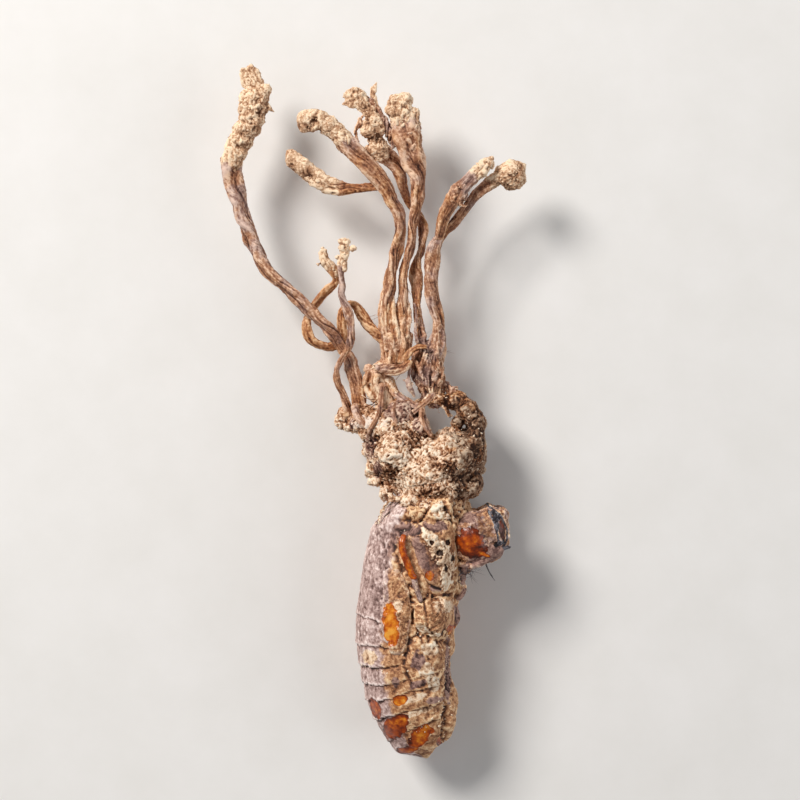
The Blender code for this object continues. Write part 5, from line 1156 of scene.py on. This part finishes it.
def dress_nymph(material):
    """The body with its rings, creases painted dark as shade, crumbs, clay and amber, in place of its solid.
    """
    grid, outward, facing = body_grid()
    flat = grid.reshape(-1, 3)
    broken = ease(-0.5, 0.3, layered(flat / 1.1, 3, 77))
    move, shade = lapped(flat)
    # The rings' dark lines and the cracks are painted shade.
    crease_shade = 0.55 * shade
    for k, (route, width, deep, dark) in enumerate(BODY_LINES):
        found = line(flat, route, width, k, 0.2) * broken
        move = move - deep * found
        crease_shade = np.maximum(crease_shade, dark * found)
    for *place, height, turn in BODY_SWELLS:
        move = move + height * spot(flat, *place, turn, 9, 0.15, 0.9)
    belly_side = ease(-0.35, 0.5, facing)
    raw = ease(-12.6, -10.8, flat[:, 1]) * ease(2.6, 4.6, flat[:, 0])
    move = move + 0.08 * layered(flat * (1 / 0.9, 1 / 2.4, 1 / 0.9), 3, 21)
    move = move + 0.05 * layered(flat / 0.4, 2, 23)
    move = move + belly_side * (0.2 * layered(flat / 1.7, 3, 29) + 0.05 * grains(flat / 0.42, 25)[0]
                                - 0.1 * ease(0.4, 0.6, wave(flat / 0.5, 31)))
    move = move + raw * (0.8 * flaky(flat, 5)[0] - 0.3 * ease(0.2, 0.5, wave(flat / 0.8, 33)))
    amber = masked(flat, BODY_AMBER, 3, 0.26)
    torn = 4 * amber * (1 - amber)
    skin = flat + outward * (move * (1 - 0.75 * amber) - 0.04 * amber + 0.05 * torn)[:, None]
    skin = np.concatenate([skin, [grid[0].mean(axis=0) - (0, 0.1, 0), grid[-1].mean(axis=0) + (0, 0.4, 0)]])
    skin[:, 2] = np.maximum(skin[:, 2], -LIFT)
    bloom, crease_shade, amber, torn, belly_side, raw = (
        np.pad(values, (0, 2)) for values in (ease(0.1, 0.75, -facing), crease_shade, amber, torn, belly_side, raw))
    marks = {
        "bloom": bloom,
        "crease_shade": crease_shade,
        "amber": amber,
        "light": 0.3 + 0.35 * masked(skin, AMBER_LIGHT, 13),
        "clay": np.maximum(0.9 * masked(skin, BODY_CLAY, 5), 0.3 * torn),
        "dusk": 0.7 * masked(skin, BODY_DUSK, 7, 0.6),
    }
    rubble = np.max([line(skin, route, 0.5, 5) for route, _, _, dark in BODY_LINES if dark > 0.5], axis=0)
    weight = 0.3 * raw + 0.5 * rubble + 0.12 * belly_side * ease(0.0, 0.5, wave(skin / 1.2, 61))
    crumbs = scattered(skin, weight, 1000, 0.04, 0.14, 67, {"clay": 0.6})
    body = (skin, tube_faces(*grid.shape[:2]), marks)
    add_piece("nymph", [body, crumbs], material, "nymph_body")


# Wing pads and legs, as they are on the near side

WING_OUTLINE = [
    (1.4, -17.1), (2.4, -16.9), (3.1, -17.5), (3.6, -18.5), (3.9, -19.8), (4.0, -21.3), (4.0, -22.9),
    (3.8, -24.4), (3.4, -25.7), (2.7, -26.4), (2.1, -26.2), (1.5, -25.2), (1.0, -24.1), (0.8, -22.9),
    (0.9, -21.3), (1.1, -19.8), (1.15, -18.3),
]

SHIELD_OUTLINE = [
    (3.9, -13.2), (4.7, -12.2), (6.2, -11.6), (8.0, -11.7), (8.6, -12.8), (9.0, -14.6), (9.2, -16.3),
    (9.1, -17.7), (8.5, -19.1), (7.4, -19.7), (6.2, -19.5), (5.5, -18.4), (4.9, -16.8), (4.3, -15.0),
]
SHIELD_RIM = [
    (3.4, -13.2, 11.5, 0.2), (3.15, -13.9, 11.75, 0.3), (3.2, -14.8, 11.85, 0.33), (3.5, -15.8, 11.9, 0.33),
    (3.9, -16.8, 11.85, 0.33), (4.4, -17.9, 11.8, 0.3), (4.6, -18.7, 11.7, 0.28), (4.9, -19.6, 11.6, 0.28),
    (5.2, -20.5, 11.4, 0.2),
]
SHIELD_SEAM = [(4.1, -14.1), (4.5, -15.7), (5.1, -17.4), (6.0, -18.7), (7.3, -19.2)]
SHIELD_HOLES = [
    (7.2, -15.2, 0.42, 0.3, 0), (8.1, -14.2, 0.22, 0.3, 30), (8.6, -15.9, 0.2, 0.3, 0),
    (6.3, -14.1, 0.22, 0.3, 20), (7.9, -17.0, 0.25, 0.4, 10),
]
SHIELD_CLAY = [(5.9, -13.4, 1.0, 0.6, -40), (6.9, -14.5, 0.95, 1.3, 30), (7.9, -16.1, 1.0, 1.4, 20),
               (7.9, -17.9, 0.7, 1.3, -5)]
SHIELD_DUSK = [(6.7, -12.2, 1.4, 0.8, -5), (4.9, -15.0, 0.9, 2.2, 20), (7.2, -15.4, 0.35, 0.4, 0),
               (6.3, -19.0, 1.2, 0.35, -15), (4.5, -12.8, 0.9, 0.6, 30)]

HIP_OUTLINE = [
    (4.6, -20.9), (5.6, -20.3), (7.3, -20.0), (8.5, -20.3), (9.1, -20.9), (9.5, -22.1), (9.3, -23.3),
    (8.6, -24.2), (7.6, -24.7), (6.3, -24.4), (5.0, -23.8), (4.5, -22.8), (4.4, -21.7),
]
HIP_SEAM = [(5.5, -20.4), (5.7, -21.8), (5.9, -23.2), (6.6, -24.2)]
HIP_CLAY = [(7.6, -21.0, 1.3, 0.8, 0), (5.4, -23.4, 0.8, 0.4, -30), (6.6, -24.0, 0.9, 0.3, -20)]

FORELEG_LUMPS = [
    (10.9, -13.7, 8.2, 2.5, 2.9, 2.1), (12.8, -12.6, 8.1, 2.0, 2.3, 1.9), (12.0, -15.1, 8.1, 2.2, 1.5, 1.7),
    (14.0, -14.3, 8.0, 0.9, 0.9, 0.9), (13.9, -11.4, 8.0, 0.9, 1.0, 1.3), (10.1, -17.0, 7.9, 0.7, 0.8, 1.0),
]
FORELEG_TUBES = [
    [(12.6, -10.3, 8.6, 0.2), (13.7, -11.1, 9.3, 0.28), (14.5, -12.6, 9.0, 0.3), (14.6, -13.8, 8.7, 0.28),
     (14.2, -14.8, 8.6, 0.25)],
    [(12.5, -10.8, 9.2, 0.2), (13.2, -12.2, 9.8, 0.26), (13.5, -13.4, 9.6, 0.28), (13.7, -14.5, 9.0, 0.3)],
    [(9.3, -16.6, 8.6, 0.3), (10.8, -16.8, 8.9, 0.36), (12.2, -16.1, 9.1, 0.38), (13.4, -15.2, 9.0, 0.4),
     (14.0, -14.9, 8.7, 0.4)],
    [(9.3, -18.6, 8.0, 0.35), (9.9, -19.0, 8.1, 0.25), (10.0, -19.6, 8.0, 0.22), (9.5, -20.3, 7.9, 0.25),
     (8.8, -20.6, 7.8, 0.35)],
    [(9.0, -17.4, 8.0, 0.7), (9.6, -17.9, 7.9, 0.5), (9.9, -18.5, 7.9, 0.3)],
]
FORELEG_CLAW = [
    (13.2, -14.6, 8.5, 0.5), (13.9, -14.8, 8.5, 0.42), (14.5, -14.8, 8.4, 0.26), (15.0, -14.8, 8.4, 0.1),
]
FORELEG_SPUR = [(13.7, -13.4, 8.9, 0.2), (14.0, -14.1, 8.8, 0.22), (14.4, -14.6, 8.6, 0.1)]
FORELEG_BRISTLE = [(12.2, -16.3, 8.3, 0.07), (12.7, -17.6, 8.1, 0.05), (13.3, -18.5, 8.0, 0.02)]
FORELEG_FUZZ = [(9.6, -17.6, 8.6), (10.4, -17.2, 8.6), (9.2, -18.2, 8.4)]
FORELEG_AMBER = [(10.3, -14.2, 1.5, 1.7, 0), (11.2, -15.2, 1.3, 0.6, 10), (14.0, -12.6, 0.3, 1.3, 0)]
FORELEG_STRIPES = [(13.3, -11.3, 0.5, 0.7, 20), (13.4, -12.4, 0.3, 0.6, 0), (13.8, -14.3, 0.6, 0.3, 20)]
FORELEG_DUSK = [(9.4, -17.8, 1.0, 1.2, 0), (10.0, -11.4, 1.2, 0.7, 0), (9.6, -20.0, 1.2, 0.7, 0),
                (12.4, -15.7, 2.2, 0.7, 22)]


def mirrored(parts):
    """The near side's parts, turned over across the nymph's middle plane for the far side."""
    turned = []
    for points, faces, marks in parts:
        heights = np.maximum(2 * MIDDLE_HEIGHT - points[:, 2], -LIFT)
        turned.append((np.column_stack([points[:, :2], heights]), [face[::-1] for face in faces], marks))
    return turned


def plate(outline, height, edge_power, sink=0.8):
    """A crowned plate that lies on the near flank, and how far out from its middle each point is.

    With a higher edge power the crown is flatter and its edge steeper. The last rows of points turn under the
    edge and end sunk in the flank.
    """
    found, _ = smooth_path([(x, y, 0.0) for x, y in outline], PLATE_STEP * FINE, closed=True)
    found += 0.16 * layered(found / 0.9, 3, 7)[:, None]
    edge = found[:-1, :2]
    middle = edge.mean(axis=0)
    out = np.linspace(0.02, 1, int(PLATE_ROWS / FINE))
    flat = middle + out[:, None, None] * (edge - middle)[None]
    crown = height * (np.clip(1 - out**edge_power, 0, 1) ** 0.7)[:, None]
    lift = flank_height(flat[..., 0], flat[..., 1])
    rows = [*np.concatenate([flat, (lift + crown)[..., None]], axis=-1)]
    for share, drop in ((1.0, 0.3), (0.97, 0.7), (0.9, 1.0), (0.5, 1.0)):
        rows.append(np.column_stack([middle + share * (edge - middle), lift[-1] - sink * drop]))
    ends = [(*middle, lift[0].mean() + height), (*middle, lift[0].mean() - sink)]
    share = np.concatenate([np.repeat(out, len(edge)), np.full(4 * len(edge), 1.2), [0, 1.2]])
    return np.concatenate([*rows, ends]), tube_faces(len(rows), len(edge)), share


def raised(points, share, height):
    """A plate's points, with those on top of it raised by the height."""
    return points + np.outer((share < 1) * height, (0, 0, 1))


def flank_rough(points, seed, rough):
    """Fine lumps and crumbs of the given height for a plate's skin."""
    return rough * (0.16 * grains(points / 0.6, seed)[0] + 0.2 * grains(points / 0.3, seed + 3)[0]
                    + 0.6 * layered(points / 1.6, 3, seed + 5, 0.55) - 0.1)


def wing_pad():
    """The wing pad: clay over a brown plate, with one long amber window."""
    points, faces, share = plate(WING_OUTLINE, 0.55, 4)
    amber = spot(points, 1.9, -23.1, 0.8, 2.5, 4, 3, 0.26)
    torn = 4 * amber * (1 - amber)
    white = spot(points, 2.6, -20.9, 0.6, 0.6, 0, 5)
    height = flank_rough(points, 73, 0.45) * (1 - 0.85 * amber) - 0.12 * amber + 0.05 * torn
    marks = {
        "amber": amber * (share < 1),
        "clay": np.maximum(0.3 + 0.15 * torn, white),
        "bloom": np.maximum(0.55 * white, 0.9 * ease(2.3, 1.1, points[:, 0])),
        # Painted shade under the pad's edge and, fainter, towards its rim.
        "crease_shade": 0.5 * ease(0.95, 1.0, share),
        "dusk": 0.3 * ease(0.7, 0.98, share),
        "light": 0.78,
    }
    return [(raised(points, share, height), faces, marks)]


def middle_leg():
    """The folded middle leg: a dished plate with clay, a seam and holes, and a rim that ends in amber."""
    points, faces, share = plate(SHIELD_OUTLINE, 0.7, 5)
    clay = masked(points, SHIELD_CLAY, 3, 0.5)
    dusk = masked(points, SHIELD_DUSK, 5)
    seam = line(points, SHIELD_SEAM, 0.16, 3)
    dish = spot(points, 6.0, -16.2, 1.2, 2.2, 20, 3, 0.1, 0.9)
    holes = masked(points, SHIELD_HOLES, 15, 0.8)
    height = (flank_rough(points, 67, 0.36) * (0.5 + clay) - 0.3 * dusk * (points[:, 1] > -13.5)
              - 0.25 * seam - 0.3 * dish + 0.25 * clay - 0.35 * holes)
    marks = {
        "amber": spot(points, 6.1, -17.6, 0.5, 0.55, 0, 7),
        "clay": 0.95 * clay,
        # Painted shade in the dish, the seam, the holes and under the plate's edge; the dark patches are
        # partly the skin's purple-brown and partly painted shade.
        "dusk": np.maximum(0.65 * dusk, 0.4 * dish),
        "crease_shade": np.max([seam, holes, 0.5 * ease(0.95, 1.0, share)], axis=0),
        "bloom": 0.3,
        "light": 0.45,
    }
    rim, rim_faces, _ = strand(SHIELD_RIM, 69, twist=0.0, flat=0.9, folds=0.08, sides=36, step=0.08)
    gloss = ease(-18.2, -17.8, rim[:, 1])
    rim_marks = {"amber": gloss, "bloom": 0.8 * (1 - gloss), "clay": 0.4 * (1 - gloss), "light": 0.45}
    return [(raised(points, share, height), faces, marks), (rim, rim_faces, rim_marks)]


def hind_leg():
    """The hind leg's hip: a domed plate with a seam and a pit."""
    points, faces, share = plate(HIP_OUTLINE, 1.5, 1.4)
    seam = line(points, HIP_SEAM, 0.2, 5)
    pit = spot(points, 7.7, -24.0, 0.35, 0.5, 0, 5)
    marks = {
        "amber": spot(points, 8.5, -23.8, 0.5, 0.6, 0, 7),
        "clay": 0.7 * masked(points, HIP_CLAY, 11),
        # Painted shade in the seam, in the pit and under the plate's edge.
        "crease_shade": np.max([0.6 * seam, pit, 0.6 * ease(0.95, 1.0, share)], axis=0),
        "light": 0.5,
        "dusk": spot(points, 9.2, -22.0, 0.4, 1.2, 0, 3),
    }
    return [(raised(points, share, flank_rough(points, 71, 0.6) - 0.3 * seam - 0.5 * pit), faces, marks)]


def foreleg():
    """The digging leg: amber in a brown skin with dark stripes, and its claw, spur, bristle and fuzz."""
    points, faces, normals = grown_form(FORELEG_LUMPS, FORELEG_TUBES, FORELEG_VOXEL)
    faint = 0.42 * spot(points, 11.9, -12.5, 1.5, 1.3, -30, 3, 0.4)
    amber = np.maximum(masked(points, FORELEG_AMBER, 3), faint)
    stripes = [line(points, route, 0.13, 5, 0.1) for route in FORELEG_TUBES[:2]]
    strip = np.max([*stripes, masked(points, FORELEG_STRIPES, 9, 0.6)], axis=0)
    dusk = masked(points, FORELEG_DUSK, 7)
    streak = spot(points, 12.1, -15.5, 0.7, 0.2, -25, 5, 0.2)
    rough = (0.12 * grains(points / 0.45, 61)[0] + 0.09 * lumpy(points / 0.25, 63)
             + 0.14 * layered(points / 1.1, 3, 65) - 0.06)
    move = rough * (1 - np.maximum(0.85 * amber, 0.6 * dusk)) + 0.05 * wave(points, 5)
    light = 0.25 * spot(points, 10.4, -14.0, 1.2, 1.2, -20, 11, 0.5, 0.7)
    marks = {
        "amber": np.maximum(amber * (1 - strip), streak),
        "claw": 0.9 * strip,
        "dusk": dusk,
        "bloom": 0.5,
        "clay": 0.25,
        "light": np.maximum(0.1 + light, 0.7 * streak),
    }
    hooks = [(*simple_tube(route, sides, step)[:2], {"claw": 1.0}) for route, sides, step in
             ((FORELEG_CLAW, 16, 0.08), (FORELEG_SPUR, 16, 0.08), (FORELEG_BRISTLE, 8, 0.15))]
    fuzz = hairs(FORELEG_FUZZ, 70, 0.9, 0.03, 5, {"claw": 1.0})
    return [(points + normals * move[:, None], faces, marks), *hooks, fuzz]


def dress_limbs(material):
    """Forelegs, middle and hind legs and wing pads, near and far, each in place of its solid."""
    limbs = (("foreleg", foreleg, "amber_chitin"), ("middle_leg", middle_leg, "husk"),
             ("hind_leg", hind_leg, "husk"), ("wing_pad", wing_pad, "husk"))
    for name, make, slot in limbs:
        parts = make()
        for side, own in (("near", parts), ("far", mirrored(parts))):
            add_piece(f"{name}_{side}_skin", own, material, f"{name}_{side}")


# Floor, light and camera

PHOTO_SCALE = 0.11
PHOTO_WIDTH = 800
CAMERA_X = 2.9
CAMERA_Y = 1.3
SHARP_HEIGHT = 7.5
LENS = 100.0
SENSOR = 36.0

# Metres, watts and light values
CLIP_START = 0.01
FLOOR_SIZE = 3.0
LIGHT_AIM = Vector((0.003, 0.0, 0.006))
LIGHTS = {
    "key": ((-0.24, 0.24, 0.32), 0.16, 2.2, (1.0, 0.98, 0.95)),
    "fill": ((0.35, -0.05, 0.25), 0.30, 0.5, (0.95, 0.97, 1.0)),
}
SKY_COLOUR = (0.95, 0.97, 1.0, 1.0)
SKY_STRENGTH = 0.2


def make_stage():
    """A plain pale floor."""
    bpy.ops.mesh.primitive_plane_add(size=FLOOR_SIZE, location=(0, 0, 0))
    floor = bpy.context.object
    floor.name = "floor"
    n = Nodes("floor")
    colour = n.ramp(n.noise(9.0, 4), (0.3, 233, 230, 226), (0.7, 238, 235, 232))
    floor.data.materials.append(n.finish(colour, 0.85))


def make_lights():
    """Two soft lights, each with its place, size, power and colour, and a dim sky."""
    for name, (place, size, power, colour) in LIGHTS.items():
        data = bpy.data.lights.new(name, "AREA")
        data.size = size
        data.energy = power
        data.color = colour
        light = bpy.data.objects.new(name, data)
        light.location = place
        light.rotation_euler = (LIGHT_AIM - Vector(place)).to_track_quat("-Z", "Y").to_euler()
        bpy.context.scene.collection.objects.link(light)
    world = bpy.data.worlds.new("studio")
    bpy.context.scene.world = world
    world.use_nodes = True
    back = world.node_tree.nodes["Background"]
    back.inputs["Color"].default_value = SKY_COLOUR
    back.inputs["Strength"].default_value = SKY_STRENGTH


def make_camera():
    """Looks straight down on the specimen, which shows the view that the photograph has of it."""
    data = bpy.data.cameras.new("camera")
    data.lens = LENS
    data.sensor_width = SENSOR
    data.clip_start = CLIP_START
    distance = LENS / SENSOR * PHOTO_WIDTH * PHOTO_SCALE * MM
    camera = bpy.data.objects.new("camera", data)
    camera.location = (CAMERA_X * MM, CAMERA_Y * MM, distance + SHARP_HEIGHT * MM)
    bpy.context.scene.collection.objects.link(camera)
    bpy.context.scene.camera = camera


bpy.context.scene.view_settings.view_transform = "Standard"
make_camera()
make_lights()
make_stage()
husk = husk_material()
stalk = stalk_material()
dress_nymph(husk)
dress_limbs(husk)
dress_crust(crust_material())
dress_columns(stalk)
dress_stalks(stalk)
